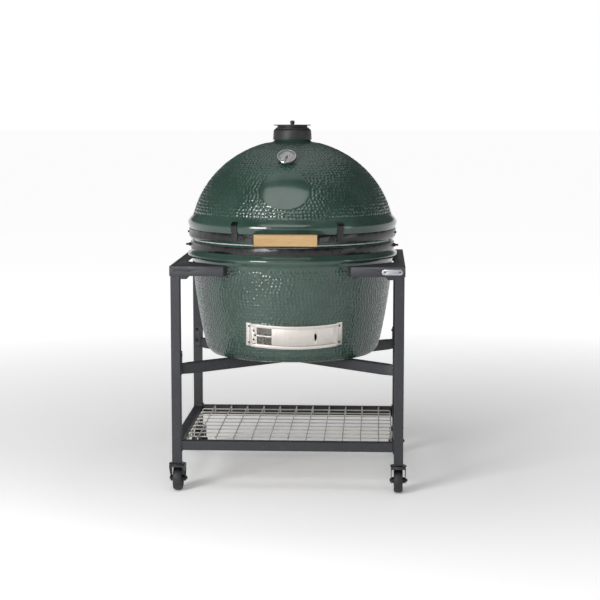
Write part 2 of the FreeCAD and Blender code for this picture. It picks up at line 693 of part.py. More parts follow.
def dome_shell():
    """Upper half of the body: flange, elliptic wall and chimney neck."""
    foot = [(404.0, DOME_BOTTOM), (DOME_SEAT_R, 961.0), (DOME_SEAT_R, 999.0), (411.5, 1004.0),
            (416.0, 1020.0), (416.0, 1027.0), (412.0, 1033.0), (397.5, 1049.0)]
    heights = [1056, 1080, 1110, 1145, 1180, 1215, 1250, 1280, 1305, 1325]
    wall = [(397.5, 1049.0)] + [(dome_radius(z), z) for z in heights]
    wall += [(86.0, 1335.0)]
    inner_z = [960, 1000, 1050, 1100, 1150, 1200, 1240, 1270, 1295, 1312]
    inside = [(dome_radius(z, CERAMIC_T), z) for z in inner_z]
    inside += [(BORE_R, 1320.0)]
    edges = straight(foot) + [curve(wall)]
    edges += straight([(86.0, 1335.0), (75.0, 1339.0), (NECK_R, NECK_TOP),
                       (BORE_R, NECK_TOP), inside[-1]])
    edges += [curve(inside[::-1])]
    edges += straight([inside[0], (378.0, DOME_BOTTOM), (404.0, DOME_BOTTOM)])
    dome = bowl(edges)
    stem = thermometer(cyl(6.0, 80, (0, 0, -60)))
    save("ceramic_dome", [dome.cut(stem)])


def thermometer(shape):
    """Place a shape whose +Z is the dial's outward normal, origin at the case's back."""
    shape.rotate(V(0, 0, 0), V(1, 0, 0), 90.0 - DIAL_RISE)
    a = math.radians(DIAL_RISE)
    out = 11.0
    shape.translate(V(-8, -238.6 - out * math.cos(a), 1271.5 + out * math.sin(a)))
    return shape


def thermometer_parts():
    """Round case on a stem, dial plate, needle and glass."""
    case = turned([(0, 0), (33, 0), (35.5, 1.5), (35.5, 4), (38, 5), (38, 8.5), (36.5, 10),
                   (33, 10), (33, 2), (0, 2)])
    stem = cyl(4.0, 66, (0, 0, -66))
    collar = hexagon(17, 7, (0, 0, -7), (0, 0, 1))
    case = fused([case, stem, collar]).cut(cyl(1.05, 1.5, (0, 0, 0.8)))
    save("thermometer_case", [thermometer(case)])
    dial = cyl(32.8, 0.8, (0, 0, 2)).cut(cyl(1.3, 4, (0, 0, 1)))
    save("thermometer_dial", [thermometer(dial)])
    hub = fused([cyl(1.0, 4, (0, 0, 1.0)), cyl(4.0, 1.6, (0, 0, 3.4)),
                 prism([(-1.6, -8), (1.6, -8), (0.5, 27), (-0.5, 27)], 3.8, 4.6)])
    hub.rotate(V(0, 0, 0), V(0, 0, 1), 168)
    save("thermometer_needle", [thermometer(hub)])
    save("thermometer_lens", [thermometer(cyl(32.8, 1.4, (0, 0, 7.2)))])


def handle():
    """Wooden grip on two steel brackets fixed to the upper band."""
    grip = box(-117.5, 117.5, -477.0, -449.0, 959.5, 1003.5)
    long_edges = [e for e in grip.Edges if abs(e.BoundBox.XLength - 235) < 1e-6]
    grip = grip.makeFillet(6.0, long_edges)
    r = DOME_SEAT_R + BAND_T
    foot = sector(r, r + 4, 970, 993, 17.0, 26.3)
    arm = prism([(149, -386), (164, -379), (126, -466), (117.5, -466), (117.5, -458)],
                972, 991)
    arm = arm.cut(cyl(r + 1, 60, (0, 0, 950)))
    end = box(117.5, 121.5, -473, -453, 963, 1000)
    right = fused([foot, arm, end])
    for a in (18.5, 24.9):
        b = math.radians(a)
        right = right.cut(cyl(2.5, 20, (0.97 * r * math.sin(b), -0.97 * r * math.cos(b), 981.5),
                              (math.sin(b), -math.cos(b), 0)))
    brackets = [right, mirrored_x(right)]
    bolts = []
    for a in (18.5, 24.9):
        b = math.radians(a)
        way = (math.sin(b), -math.cos(b), 0)
        at = ((r + 4) * way[0], (r + 4) * way[1], 981.5)
        bolts.append(screw(3.6, 2.4, 2.5, 4.0, at, way).cut(cyl(r, 60, (0, 0, 950))))
    for z in (966.8, 996.2):
        bolts.append(screw(3.4, 2.0, 2.0, 26.0, (121.5, -463, z), (1, 0, 0)))
        grip = grip.cut(cyl(2.0, 23, (117.5 - 22.5, -463, z), (1, 0, 0)))
        grip = grip.cut(cyl(2.0, 23, (-117.5 - 0.5, -463, z), (1, 0, 0)))
    brackets = [b.cut([cyl(2.0, 300, (-150, -463, z), (1, 0, 0)) for z in (966.8, 996.2)])
                for b in brackets]
    save("handle_brackets", brackets)
    save("handle_bolts", bolts + [mirrored_x(b) for b in bolts])
    save("handle_grip", [grip])


def band_clips():
    """Two clips that hook the upper band over the flange."""
    r = DOME_SEAT_R + BAND_T
    outline = [(r, 969.0), (r + 3, 969.0), (r + 3, 1000.0), (r + 4.0, 1005.0), (419.5, 1019.5),
               (419.5, 1029.0), (408.0, 1043.0), (405.0, 1041.5), (416.4, 1027.6),
               (416.4, 1019.8), (411.8, 1004.4), (r, 999.5)]
    clips = [turned(outline, a - 1.75, a + 1.75) for a in (-29.0, 29.0)]
    save("band_clips", clips)


def dome_hinge():
    """Rear hinge: fixed ears on the lower band, moving ears on the upper band."""
    low_r = BASE_SEAT_R + BAND_T
    up_r = DOME_SEAT_R + BAND_T
    pad = sector(low_r, low_r + 4, 919, 943, 160, 200)
    ear = side_prism([(380, 921), (380, 941), (430, 952), (PIN_Y - 4, PIN_Z + 18),
                      (PIN_Y, PIN_Z - EAR_R), (432, 921)], 118, 124)
    ear = ear.fuse(cyl(EAR_R, 6, (118, PIN_Y, PIN_Z), (1, 0, 0)))
    ear = ear.cut(cyl(low_r, 90, (0, 0, 900)))
    tie = box(-124, 124, 424, 428, 922, 938)
    lower = fused([pad, ear, mirrored_x(ear), tie])
    lower = lower.cut(cyl(PIN_R, 300, (-150, PIN_Y, PIN_Z), (1, 0, 0)))
    save("hinge_lower_bracket", [lower])
    pad = sector(up_r, up_r + 4, 969, 994, 163, 197)
    ear = side_prism([(380, 971), (380, 992), (440, 992), (PIN_Y + 8, PIN_Z + 17),
                      (PIN_Y - 4, PIN_Z - 18), (440, 968)], 104, 110)
    ear = ear.fuse(cyl(EAR_R - 2, 6, (104, PIN_Y, PIN_Z), (1, 0, 0)))
    ear = ear.cut(cyl(up_r, 90, (0, 0, 940)))
    tie = box(-110, 110, 432, 436, 972, 989)
    upper = fused([pad, ear, mirrored_x(ear), tie])
    upper = upper.cut(cyl(PIN_R + 0.08, 300, (-150, PIN_Y, PIN_Z), (1, 0, 0)))
    save("hinge_upper_bracket", [upper])
    pin = fused([cyl(PIN_R, 258, (-129, PIN_Y, PIN_Z), (1, 0, 0)),
                 cyl(10, 5, (-129, PIN_Y, PIN_Z), (1, 0, 0)),
                 cyl(10, 5, (124, PIN_Y, PIN_Z), (1, 0, 0))])
    save("hinge_pin", [pin])
    springs = []
    for x0 in (-98.0, 14.0):
        springs.append(hinge_spring(x0))
    save("hinge_springs", springs)


def hinge_spring(x0):
    """Coil round the pin, with one leg resting on the lower bracket's cross tie."""
    coil = Part.makeHelix(7.6, 84.0, 15.0)
    ring = Part.Wire(Part.makeCircle(3.0, V(15.0, 0, 0), V(0, 1, 0)))
    spring = Part.Wire(coil).makePipeShell([ring], True, True)
    spring.rotate(V(0, 0, 0), V(0, 1, 0), 90)
    spring.translate(V(x0, PIN_Y, PIN_Z))
    return spring


# ==== vent cap ============================================================
def vent_cap():
    """Cast collar on the neck, swinging slider and turning top wheel."""
    px, py = CAP_PIVOT
    z = CAP_Z
    collar = turned([(50.0, 1322), (51.7, 1322), (51.7, NECK_TOP), (76.5, NECK_TOP),
                     (75.5, 1366), (74.0, 1381), (69.0, z), (46.0, z), (46.0, 1352)])
    boss = cyl(9.0, 30, (px, py, z - 30)).cut(cyl(50.0, 100, (0, 0, 1300)))
    collar = collar.fuse(boss).removeSplitter().cut(cyl(4.0, 20, (px, py, z - 12)))
    save("vent_collar", [collar])
    slider = turned([(0, z + 0.3), (66.0, z + 0.3), (66.0, z + 4), (59.5, z + 5.5),
                     (59.5, z + 12.7), (0, z + 12.7)])
    slider = slider.fuse(cyl(8.5, 12.4, (px, py, z + 0.3))).removeSplitter()
    slider = slider.cut(petals(z - 5, z + 20)).cut(cyl(3.5, 40, (0, 0, z - 5)))
    stub = cyl(3.94, 12.0, (px, py, z - 11.5))
    save("vent_slider", [fused([slider, stub])])
    wheel = turned([(0, z + 13.0), (73.5, z + 13.0), (73.5, z + 15.2), (72.7, z + 16.0),
                    (0, z + 16.0)])
    wheel = wheel.cut(petals(z, z + 30, 27.0))
    knob = turned([(0, z + 16), (7.0, z + 16), (7.0, z + 20), (9.0, z + 21.5), (9.0, z + 29),
                   (6.5, z + 32), (0, z + 33)])
    shaft = cyl(3.45, 16, (0, 0, z + 0.6))
    save("vent_wheel", [fused([wheel, knob, shaft])])


def petals(z0, z1, turn=0.0):
    """Cutters for the five vent openings around the middle."""
    cutters = []
    for k in range(5):
        a = turn + 72.0 * k
        petal = sector(14.0, 40.0, z0, z1, a - 13, a + 13)
        cutters.append(petal)
    return Part.makeCompound(cutters)


def main():
    """Write every node."""
    os.makedirs("parts", exist_ok=True)
    for build in (legs, top_plates, gussets, cross_beams, support_pads, leg_brackets,
                  shelf_rails, wire_shelf, name_badge, castors, ceramic_base, firebox_parts,
                  gaskets, bands, draft_frame, draft_panels, dome_shell, thermometer_parts,
                  handle, band_clips, dome_hinge, vent_cap):
        build()


main()
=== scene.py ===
"""Looks of a ceramic kamado grill in a castored steel frame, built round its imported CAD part.

Metres, origin on the floor under the axis of the ceramic body, +Z up, -Y the front.
"""

import json
import logging
import math
from dataclasses import dataclass, field
from enum import Enum

import bmesh
import bpy
import numpy as np
from mathutils import Matrix, Vector


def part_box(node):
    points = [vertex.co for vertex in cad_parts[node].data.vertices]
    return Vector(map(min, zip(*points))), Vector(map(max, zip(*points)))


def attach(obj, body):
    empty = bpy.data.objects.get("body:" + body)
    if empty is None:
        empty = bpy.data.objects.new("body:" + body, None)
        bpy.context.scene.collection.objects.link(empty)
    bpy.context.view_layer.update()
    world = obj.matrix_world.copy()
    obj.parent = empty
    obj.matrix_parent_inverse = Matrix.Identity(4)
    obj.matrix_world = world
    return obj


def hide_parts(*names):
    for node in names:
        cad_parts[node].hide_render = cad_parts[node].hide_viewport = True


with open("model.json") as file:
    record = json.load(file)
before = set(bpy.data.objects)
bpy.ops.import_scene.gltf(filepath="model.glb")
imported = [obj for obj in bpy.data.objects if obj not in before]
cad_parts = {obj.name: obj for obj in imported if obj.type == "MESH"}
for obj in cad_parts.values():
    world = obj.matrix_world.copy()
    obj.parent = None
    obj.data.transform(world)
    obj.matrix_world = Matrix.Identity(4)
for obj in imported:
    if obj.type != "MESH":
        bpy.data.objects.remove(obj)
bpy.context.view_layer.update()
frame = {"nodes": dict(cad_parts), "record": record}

logging.basicConfig(level=logging.INFO, format="%(name)s: %(message)s")
LOG = logging.getLogger("grill")

MM = 0.001
DOOR_TURN = 4.3            # azimuth of the draft door's middle, degrees
DOOR_MIDDLE = 603.5 * MM   # height of its middle


# ---- shader building -----------------------------------------------------
class Shader:
    """Small wrapper that adds nodes to one material and links them."""

    def __init__(self, name: str) -> None:
        """Start a material with an output and a principled shader.

        Args:
            name: Name of the material.
        """
        self.material = bpy.data.materials.new(name)
        self.material.use_nodes = True
        self.tree = self.material.node_tree
        self.tree.nodes.clear()
        self.output = self.tree.nodes.new("ShaderNodeOutputMaterial")
        self.bsdf = self.tree.nodes.new("ShaderNodeBsdfPrincipled")
        self.link(self.bsdf.outputs["BSDF"], self.output.inputs["Surface"])
        self.coords = self.tree.nodes.new("ShaderNodeTexCoord").outputs["Object"]

    def link(self, source: bpy.types.NodeSocket, target: bpy.types.NodeSocket) -> None:
        """Join two sockets.

        Args:
            source: Output socket.
            target: Input socket.
        """
        self.tree.links.new(source, target)

    def stretched(self, scale: tuple[float, float, float]) -> bpy.types.NodeSocket:
        """Object coordinates scaled per axis.

        Args:
            scale: Factor along X, Y and Z.

        Returns:
            Socket with the scaled coordinates.
        """
        mapping = self.tree.nodes.new("ShaderNodeMapping")
        mapping.inputs["Scale"].default_value = scale
        self.link(self.coords, mapping.inputs["Vector"])
        return mapping.outputs["Vector"]

    def noise(self, scale: float, detail: float = 3.0,
              vector: bpy.types.NodeSocket | None = None) -> bpy.types.NodeSocket:
        """Fractal noise value.

        Args:
            scale: Noise scale, in cells per metre.
            detail: Number of octaves.
            vector: Coordinates, plain object coordinates if left out.

        Returns:
            Socket with the noise value.
        """
        node = self.tree.nodes.new("ShaderNodeTexNoise")
        node.inputs["Scale"].default_value = scale
        node.inputs["Detail"].default_value = detail
        self.link(vector if vector is not None else self.coords, node.inputs["Vector"])
        return node.outputs["Fac"]

    def speckle(self, scale: float, vector: bpy.types.NodeSocket | None = None) -> bpy.types.NodeSocket:
        """Distance to the nearest point of a random cell pattern.

        Args:
            scale: Cells per metre.
            vector: Coordinates, plain object coordinates if left out.

        Returns:
            Socket with the distance.
        """
        node = self.tree.nodes.new("ShaderNodeTexVoronoi")
        node.inputs["Scale"].default_value = scale
        self.link(vector if vector is not None else self.coords, node.inputs["Vector"])
        return node.outputs["Distance"]

    def spread(self, value: bpy.types.NodeSocket, low: float, high: float,
               out_low: float, out_high: float) -> bpy.types.NodeSocket:
        """Map a value from one range to another.

        Args:
            value: Socket to map.
            low: Input value that gives out_low.
            high: Input value that gives out_high.
            out_low: Result at low.
            out_high: Result at high.

        Returns:
            Socket with the mapped value.
        """
        node = self.tree.nodes.new("ShaderNodeMapRange")
        for name, number in (("From Min", low), ("From Max", high),
                             ("To Min", out_low), ("To Max", out_high)):
            node.inputs[name].default_value = number
        self.link(value, node.inputs["Value"])
        return node.outputs["Result"]

    def blend(self, factor: bpy.types.NodeSocket, first: tuple | bpy.types.NodeSocket,
              second: tuple | bpy.types.NodeSocket) -> bpy.types.NodeSocket:
        """Blend two colours.

        Args:
            factor: Socket that is 0 for the first colour and 1 for the second.
            first: Colour triple or socket.
            second: Colour triple or socket.

        Returns:
            Socket with the blended colour.
        """
        node = self.tree.nodes.new("ShaderNodeMix")
        node.data_type = "RGBA"
        node.clamp_factor = True
        self.link(factor, node.inputs["Factor"])
        for index, colour in ((6, first), (7, second)):
            if isinstance(colour, tuple):
                node.inputs[index].default_value = (*colour, 1.0)
            else:
                self.link(colour, node.inputs[index])
        return node.outputs[2]

    def product(self, a: bpy.types.NodeSocket, b: bpy.types.NodeSocket,
                kind: str = "MULTIPLY") -> bpy.types.NodeSocket:
        """Combine two values with a maths node.

        Args:
            a: First value.
            b: Second value.
            kind: Operation name.

        Returns:
            Socket with the result.
        """
        node = self.tree.nodes.new("ShaderNodeMath")
        node.operation = kind
        self.link(a, node.inputs[0])
        self.link(b, node.inputs[1])
        return node.outputs[0]

    def attribute(self, name: str) -> bpy.types.NodeSocket:
        """Value stored on the mesh.

        Args:
            name: Attribute name.

        Returns:
            Socket with the value.
        """
        node = self.tree.nodes.new("ShaderNodeAttribute")
        node.attribute_name = name
        return node.outputs["Fac"]

    def height(self, sizes: list[tuple[bpy.types.NodeSocket, float]], strength: float = 1.0) -> None:
        """Chain bumps into the shader's normal.

        Args:
            sizes: Pairs of height value and its depth in metres.
            strength: Strength of every bump.
        """
        normal = None
        for value, depth in sizes:
            bump = self.tree.nodes.new("ShaderNodeBump")
            bump.inputs["Strength"].default_value = strength
            bump.inputs["Distance"].default_value = depth
            self.link(value, bump.inputs["Height"])
            if normal is not None:
                self.link(normal, bump.inputs["Normal"])
            normal = bump.outputs["Normal"]
        self.link(normal, self.bsdf.inputs["Normal"])

    def put(self, **values: float | tuple) -> None:
        """Set uniform values on the principled shader.

        Args:
            values: Socket names with underscores for spaces, and their values.
        """
        for name, value in values.items():
            self.bsdf.inputs[name.replace("_", " ")].default_value = value


# ---- finishes ------------------------------------------------------------
@dataclass(frozen=True)
class Coating:
    """Painted, plated or moulded surface with mottling, fine texture and rubbed patches.

    Attributes:
        name: Material name.
        colour: Main colour, linear.
        worn: Colour of the rubbed or dusty patches.
        roughness: Lowest and highest roughness.
        metallic: Metal share.
        grain: Cells per metre of the fine texture.
        grain_depth: Its depth in metres.
        wear: Noise level above which a patch shows.
        coat: Clear coat weight.
    """

    name: str
    colour: tuple[float, float, float]
    worn: tuple[float, float, float]
    roughness: tuple[float, float] = (0.35, 0.5)
    metallic: float = 0.0
    grain: float = 900.0
    grain_depth: float = 0.00008
    wear: float = 0.58
    coat: float = 0.0

    def build(self) -> bpy.types.Material:
        """Make the material.

        Returns:
            The finished material.
        """
        s = Shader(self.name)
        broad = s.noise(6.0, 4.0)
        patches = s.noise(38.0, 6.0)
        fine = s.noise(self.grain, 2.0)
        rubbed = s.spread(patches, self.wear, self.wear + 0.16, 0.0, 0.75)
        darker = tuple(0.82 * c for c in self.colour)
        tone = s.blend(s.spread(broad, 0.35, 0.65, 0.0, 1.0), darker, self.colour)
        s.link(s.blend(rubbed, tone, self.worn), s.bsdf.inputs["Base Color"])
        low, high = self.roughness
        s.link(s.spread(patches, 0.3, 0.7, low, high), s.bsdf.inputs["Roughness"])
        s.height([(fine, self.grain_depth), (patches, 0.0001)], 0.6)
        s.put(Metallic=self.metallic, Coat_Weight=self.coat, Coat_Roughness=0.12)
        return s.material


@dataclass(frozen=True)
class Brushed:
    """Bare metal with brushing along one axis, smudges and a few stains.

    Attributes:
        name: Material name.
        colour: Main colour, linear.
        stain: Colour of the stained patches.
        along: Noise stretch per axis; the smallest is the brushing direction.
        roughness: Lowest and highest roughness.
        scratch_depth: Depth of the brushing in metres.
    """

    name: str
    colour: tuple[float, float, float]
    stain: tuple[float, float, float]
    along: tuple[float, float, float] = (0.04, 1.0, 1.0)
    roughness: tuple[float, float] = (0.22, 0.4)
    scratch_depth: float = 0.00004

    def build(self) -> bpy.types.Material:
        """Make the material.

        Returns:
            The finished material.
        """
        s = Shader(self.name)
        hairs = s.noise(1400.0, 3.0, s.stretched(self.along))
        smudge = s.noise(22.0, 5.0)
        tone = s.blend(s.spread(hairs, 0.3, 0.7, 0.0, 1.0),
                       tuple(0.86 * c for c in self.colour), self.colour)
        stained = s.spread(smudge, 0.56, 0.78, 0.0, 0.5)
        s.link(s.blend(stained, tone, self.stain), s.bsdf.inputs["Base Color"])
        low, high = self.roughness
        s.link(s.spread(s.product(hairs, smudge, "ADD"), 0.7, 1.3, low, high),
               s.bsdf.inputs["Roughness"])
        s.height([(hairs, self.scratch_depth), (smudge, 0.0001)], 0.5)
        s.put(Metallic=1.0)
        return s.material


@dataclass(frozen=True)
class Glaze:
    """Thick coloured glaze over dimpled ceramic: deep in the hollows, thin on the ridges.

    Attributes:
        name: Material name.
        deep: Colour where the glaze pools.
        thin: Colour where it is thin.
        bare: Colour of the unglazed edge at the foot.
        inside: Colour of the unglazed inner wall.
    """

    name: str
    deep: tuple[float, float, float] = (0.006, 0.022, 0.015)
    thin: tuple[float, float, float] = (0.034, 0.070, 0.055)
    bare: tuple[float, float, float] = (0.55, 0.5, 0.42)
    inside: tuple[float, float, float] = (0.42, 0.36, 0.29)

    def build(self) -> bpy.types.Material:
        """Make the material.

        Returns:
            The finished material.
        """
        s = Shader(self.name)
        cloud = s.noise(9.0, 5.0)
        specks = s.noise(420.0, 2.0)
        ridge = s.attribute("ridge")
        raw = s.attribute("raw")
        level = s.product(s.spread(ridge, 0.0, 1.0, 0.3, 0.5),
                          s.spread(cloud, 0.3, 0.7, 0.0, 0.5), "ADD")
        glaze = s.blend(level, self.deep, self.thin)
        glaze = s.blend(s.spread(specks, 0.66, 0.74, 0.0, 0.5), glaze,
                        tuple(0.5 * c for c in self.deep))
        clay = s.blend(s.spread(cloud, 0.3, 0.7, 0.0, 1.0), self.inside, self.bare)
        s.link(s.blend(raw, glaze, clay), s.bsdf.inputs["Base Color"])
        gloss = s.spread(cloud, 0.3, 0.7, 0.14, 0.24)
        dull = s.spread(raw, 0.0, 1.0, 0.0, 0.6)
        s.link(s.product(gloss, dull, "ADD"), s.bsdf.inputs["Roughness"])
        s.height([(cloud, 0.0008), (specks, 0.00005)], 0.5)
        s.put(Coat_Weight=0.45, Coat_Roughness=0.09, IOR=1.48)
        return s.material


@dataclass(frozen=True)
class Wood:
    """Laminated bamboo: long pale fibres in strips of slightly different tone.

    Attributes:
        name: Material name.
        light: Colour of the early wood.
        dark: Colour of the fibres.
        strip: Strips per metre across the height.
    """

    name: str
    light: tuple[float, float, float] = (0.47, 0.315, 0.145)
    dark: tuple[float, float, float] = (0.34, 0.2, 0.077)
    strip: float = 70.0

    def build(self) -> bpy.types.Material:
        """Make the material.

        Returns:
            The finished material.
        """
        s = Shader(self.name)
        fibre = s.noise(900.0, 4.0, s.stretched((0.03, 1.0, 1.0)))
        bands = s.noise(self.strip, 1.0, s.stretched((0.08, 0.5, 1.0)))
        pores = s.noise(2600.0, 2.0, s.stretched((0.02, 1.0, 1.0)))
        mix = s.product(s.spread(fibre, 0.3, 0.7, 0.0, 0.6), s.spread(bands, 0.35, 0.65, 0.0, 0.4), "ADD")
        tone = s.blend(mix, self.light, self.dark)
        tone = s.blend(s.spread(pores, 0.64, 0.72, 0.0, 0.6), tone, tuple(0.5 * c for c in self.dark))
        s.link(tone, s.bsdf.inputs["Base Color"])
        s.link(s.spread(fibre, 0.3, 0.7, 0.42, 0.6), s.bsdf.inputs["Roughness"])
        s.height([(fibre, 0.00015), (pores, 0.0001)], 0.5)
        return s.material


@dataclass(frozen=True)
class Matt:
    """Porous or fibrous matt surface: felt, rubber, raw ceramic or cast iron.

    Attributes:
        name: Material name.
        colour: Main colour, linear.
        second: Second colour of the mottling.
        grain: Cells per metre of the texture.
        depth: Depth of the texture in metres.
        roughness: Lowest and highest roughness.
        metallic: Metal share.
        sheen: Sheen weight for fibres.
    """

    name: str
    colour: tuple[float, float, float]
    second: tuple[float, float, float]
    grain: float = 300.0
    depth: float = 0.0003
    roughness: tuple[float, float] = (0.65, 0.9)
    metallic: float = 0.0
    sheen: float = 0.0

    def build(self) -> bpy.types.Material:
        """Make the material.

        Returns:
            The finished material.
        """
        s = Shader(self.name)
        mottle = s.noise(55.0, 6.0)
        grit = s.noise(self.grain, 5.0)
        pits = s.speckle(self.grain * 0.7)
        level = s.product(s.spread(mottle, 0.3, 0.7, 0.0, 0.6), s.spread(grit, 0.3, 0.7, 0.0, 0.4), "ADD")
        s.link(s.blend(level, self.colour, self.second), s.bsdf.inputs["Base Color"])
        low, high = self.roughness
        s.link(s.spread(grit, 0.3, 0.7, low, high), s.bsdf.inputs["Roughness"])
        s.height([(grit, self.depth), (pits, self.depth * 0.6)], 0.6)
        s.put(Metallic=self.metallic, Sheen_Weight=self.sheen)
        return s.material


@dataclass(frozen=True)
class Glass:
    """Clear gauge glass with a faint film.

    Attributes:
        name: Material name.
    """

    name: str

    def build(self) -> bpy.types.Material:
        """Make the material.

        Returns:
            The finished material.
        """
        s = Shader(self.name)
        film = s.noise(60.0, 4.0)
        s.link(s.spread(film, 0.35, 0.7, 0.02, 0.1), s.bsdf.inputs["Roughness"])
        s.link(s.blend(film, (0.98, 1.0, 0.99), (0.94, 0.97, 0.96)), s.bsdf.inputs["Base Color"])
        s.height([(film, 0.00003)], 0.3)
        s.put(Transmission_Weight=1.0, IOR=1.3, Alpha=0.1)
        return s.material


class Finish(Enum):
    """Every finish on the object."""

    FRAME = Coating("frame_powder", (0.024, 0.0255, 0.0305), (0.04, 0.042, 0.048), (0.46, 0.62),
                    grain=1100.0, grain_depth=0.00015)
    BRACKET = Coating("bracket_black", (0.02, 0.021, 0.025), (0.045, 0.045, 0.05), (0.42, 0.6))
    BOLT = Coating("bolt_black", (0.02, 0.02, 0.022), (0.07, 0.07, 0.07), (0.25, 0.45), 0.5)
    BAND = Coating("band_black", (0.003, 0.003, 0.0035), (0.008, 0.008, 0.009), (0.22, 0.34),
                   grain_depth=0.00003, wear=0.66)
    CASTOR = Coating("castor_zinc", (0.028, 0.029, 0.032), (0.09, 0.09, 0.095), (0.3, 0.5), 0.2)
    PEDAL = Coating("castor_pedal", (0.02, 0.02, 0.022), (0.06, 0.06, 0.06), (0.3, 0.45))
    NEEDLE = Coating("needle_black", (0.012, 0.012, 0.013), (0.03, 0.03, 0.03), (0.4, 0.5))
    MARK = Coating("dial_mark", (0.02, 0.02, 0.02), (0.04, 0.04, 0.04), (0.4, 0.5))
    RED = Coating("dial_red", (0.5, 0.05, 0.03), (0.4, 0.06, 0.05), (0.4, 0.5))
    DIAL = Coating("dial_face", (0.3, 0.31, 0.31), (0.25, 0.25, 0.25), (0.4, 0.55))
    WIRE = Brushed("shelf_wire", (0.66, 0.63, 0.58), (0.46, 0.42, 0.36), (1.0, 1.0, 1.0), (0.25, 0.4))
    STEEL = Brushed("grid_steel", (0.7, 0.66, 0.62), (0.58, 0.53, 0.48), (0.05, 0.05, 1.0), (0.3, 0.45))
    MESH = Brushed("mesh_wire", (0.42, 0.4, 0.37), (0.3, 0.28, 0.25), (1.0, 1.0, 1.0), (0.35, 0.5))
    BADGE = Brushed("badge_plate", (0.5, 0.51, 0.53), (0.32, 0.32, 0.34), (0.05, 1.0, 1.0), (0.3, 0.45))
    FIXING = Brushed("bolt_steel", (0.12, 0.12, 0.125), (0.08, 0.08, 0.08), (1.0, 1.0, 1.0), (0.3, 0.5))
    CHROME = Brushed("bezel_chrome", (0.5, 0.5, 0.51), (0.36, 0.36, 0.36), (1.0, 1.0, 1.0), (0.08, 0.2),
                     0.00001)
    GLAZE = Glaze("green_glaze")
    WOOD = Wood("grip_wood")
    FELT = Matt("felt_grey", (0.42, 0.42, 0.4), (0.6, 0.6, 0.57), 900.0, 0.0005, (0.8, 1.0), 0.0, 0.3)
    RUBBER = Matt("pad_rubber", (0.03, 0.03, 0.03), (0.05, 0.05, 0.05), 500.0, 0.0002)
    TREAD = Matt("castor_tread", (0.013, 0.0135, 0.015), (0.022, 0.023, 0.025), 700.0, 0.0001, (0.45, 0.65))
    CLAY = Matt("raw_ceramic", (0.5, 0.43, 0.34), (0.64, 0.58, 0.48), 260.0, 0.0004)
    IRON = Matt("grate_iron", (0.013, 0.0135, 0.0145), (0.022, 0.023, 0.024), 520.0, 0.0003, (0.42, 0.6), 0.1)
    LENS = Glass("lens_glass")


# ---- mesh helpers --------------------------------------------------------
def new_mesh(name: str, verts: np.ndarray, quads: np.ndarray, smooth: bool = True) -> bpy.types.Object:
    """Object from arrays of corners and four-sided faces.

    Args:
        name: Object name.
        verts: Corner positions, one row each.
        quads: Corner numbers of each face, four to a row.
        smooth: Whether faces shade smoothly.

    Returns:
        The new object, linked to the scene.
    """
    mesh = bpy.data.meshes.new(name)
    mesh.vertices.add(len(verts))
    mesh.vertices.foreach_set("co", np.asarray(verts, np.float32).ravel())
    mesh.loops.add(quads.size)
    mesh.loops.foreach_set("vertex_index", np.asarray(quads, np.int32).ravel())
    mesh.polygons.add(len(quads))
    mesh.polygons.foreach_set("loop_start", np.arange(0, quads.size, 4, dtype=np.int32))
    mesh.update(calc_edges=True)
    mesh.validate()
    mesh.polygons.foreach_set("use_smooth", np.full(len(mesh.polygons), smooth))
    thing = bpy.data.objects.new(name, mesh)
    bpy.context.collection.objects.link(thing)
    return thing


def from_bmesh(name: str, shape: bmesh.types.BMesh, smooth: bool = False) -> bpy.types.Object:
    """Object from a bmesh, which is freed.

    Args:
        name: Object name.
        shape: Geometry.
        smooth: Whether faces shade smoothly.

    Returns:
        The new object, linked to the scene.
    """
    mesh = bpy.data.meshes.new(name)
    bmesh.ops.recalc_face_normals(shape, faces=shape.faces)
    shape.to_mesh(mesh)
    shape.free()
    for face in mesh.polygons:
        face.use_smooth = smooth
    thing = bpy.data.objects.new(name, mesh)
    bpy.context.collection.objects.link(thing)
    return thing


def tube(points: np.ndarray, radius: float, sides: int = 6) -> tuple[np.ndarray, np.ndarray]:
    """Round wire along a path, with its ends left open.

    Args:
        points: Path points, one row each.
        radius: Wire radius.
        sides: Faces round the wire.

    Returns:
        Corners and four-sided faces.
    """
    path = np.asarray(points, float)
    way = np.gradient(path, axis=0)
    way /= np.linalg.norm(way, axis=1)[:, None]
    guide = np.array([0.0, 0.0, 1.0]) if abs(way[0][2]) < 0.8 else np.array([1.0, 0.0, 0.0])
    side = np.cross(way, guide)
    side /= np.linalg.norm(side, axis=1)[:, None]
    top = np.cross(side, way)
    angles = np.linspace(0, 2 * math.pi, sides, endpoint=False)
    ring = (np.cos(angles)[None, :, None] * side[:, None, :]
            + np.sin(angles)[None, :, None] * top[:, None, :])
    verts = (path[:, None, :] + radius * ring).reshape(-1, 3)
    i = np.arange(len(path) - 1)[:, None] * sides
    j = np.arange(sides)[None, :]
    k = (j + 1) % sides
    quads = np.stack([i + j, i + k, i + sides + k, i + sides + j], -1).reshape(-1, 4)
    return verts, quads


def gathered(pieces: list[tuple[np.ndarray, np.ndarray]]) -> tuple[np.ndarray, np.ndarray]:
    """Join several corner and face arrays.

    Args:
        pieces: Pairs of corners and faces.

    Returns:
        One pair holding them all.
    """
    verts, quads, start = [], [], 0
    for corner, face in pieces:
        verts.append(corner)
        quads.append(face + start)
        start += len(corner)
    return np.concatenate(verts), np.concatenate(quads)


def dress(node: str, finish: Finish) -> None:
    """Give a CAD node its finish.

    Args:
        node: Node name.
        finish: Its finish.
    """
    thing = frame["nodes"][node]
    thing.data.materials.clear()
    thing.data.materials.append(material_of(finish))
    LOG.info("dressed %s as %s", node, finish.name)


MATERIALS: dict[Finish, bpy.types.Material] = {}


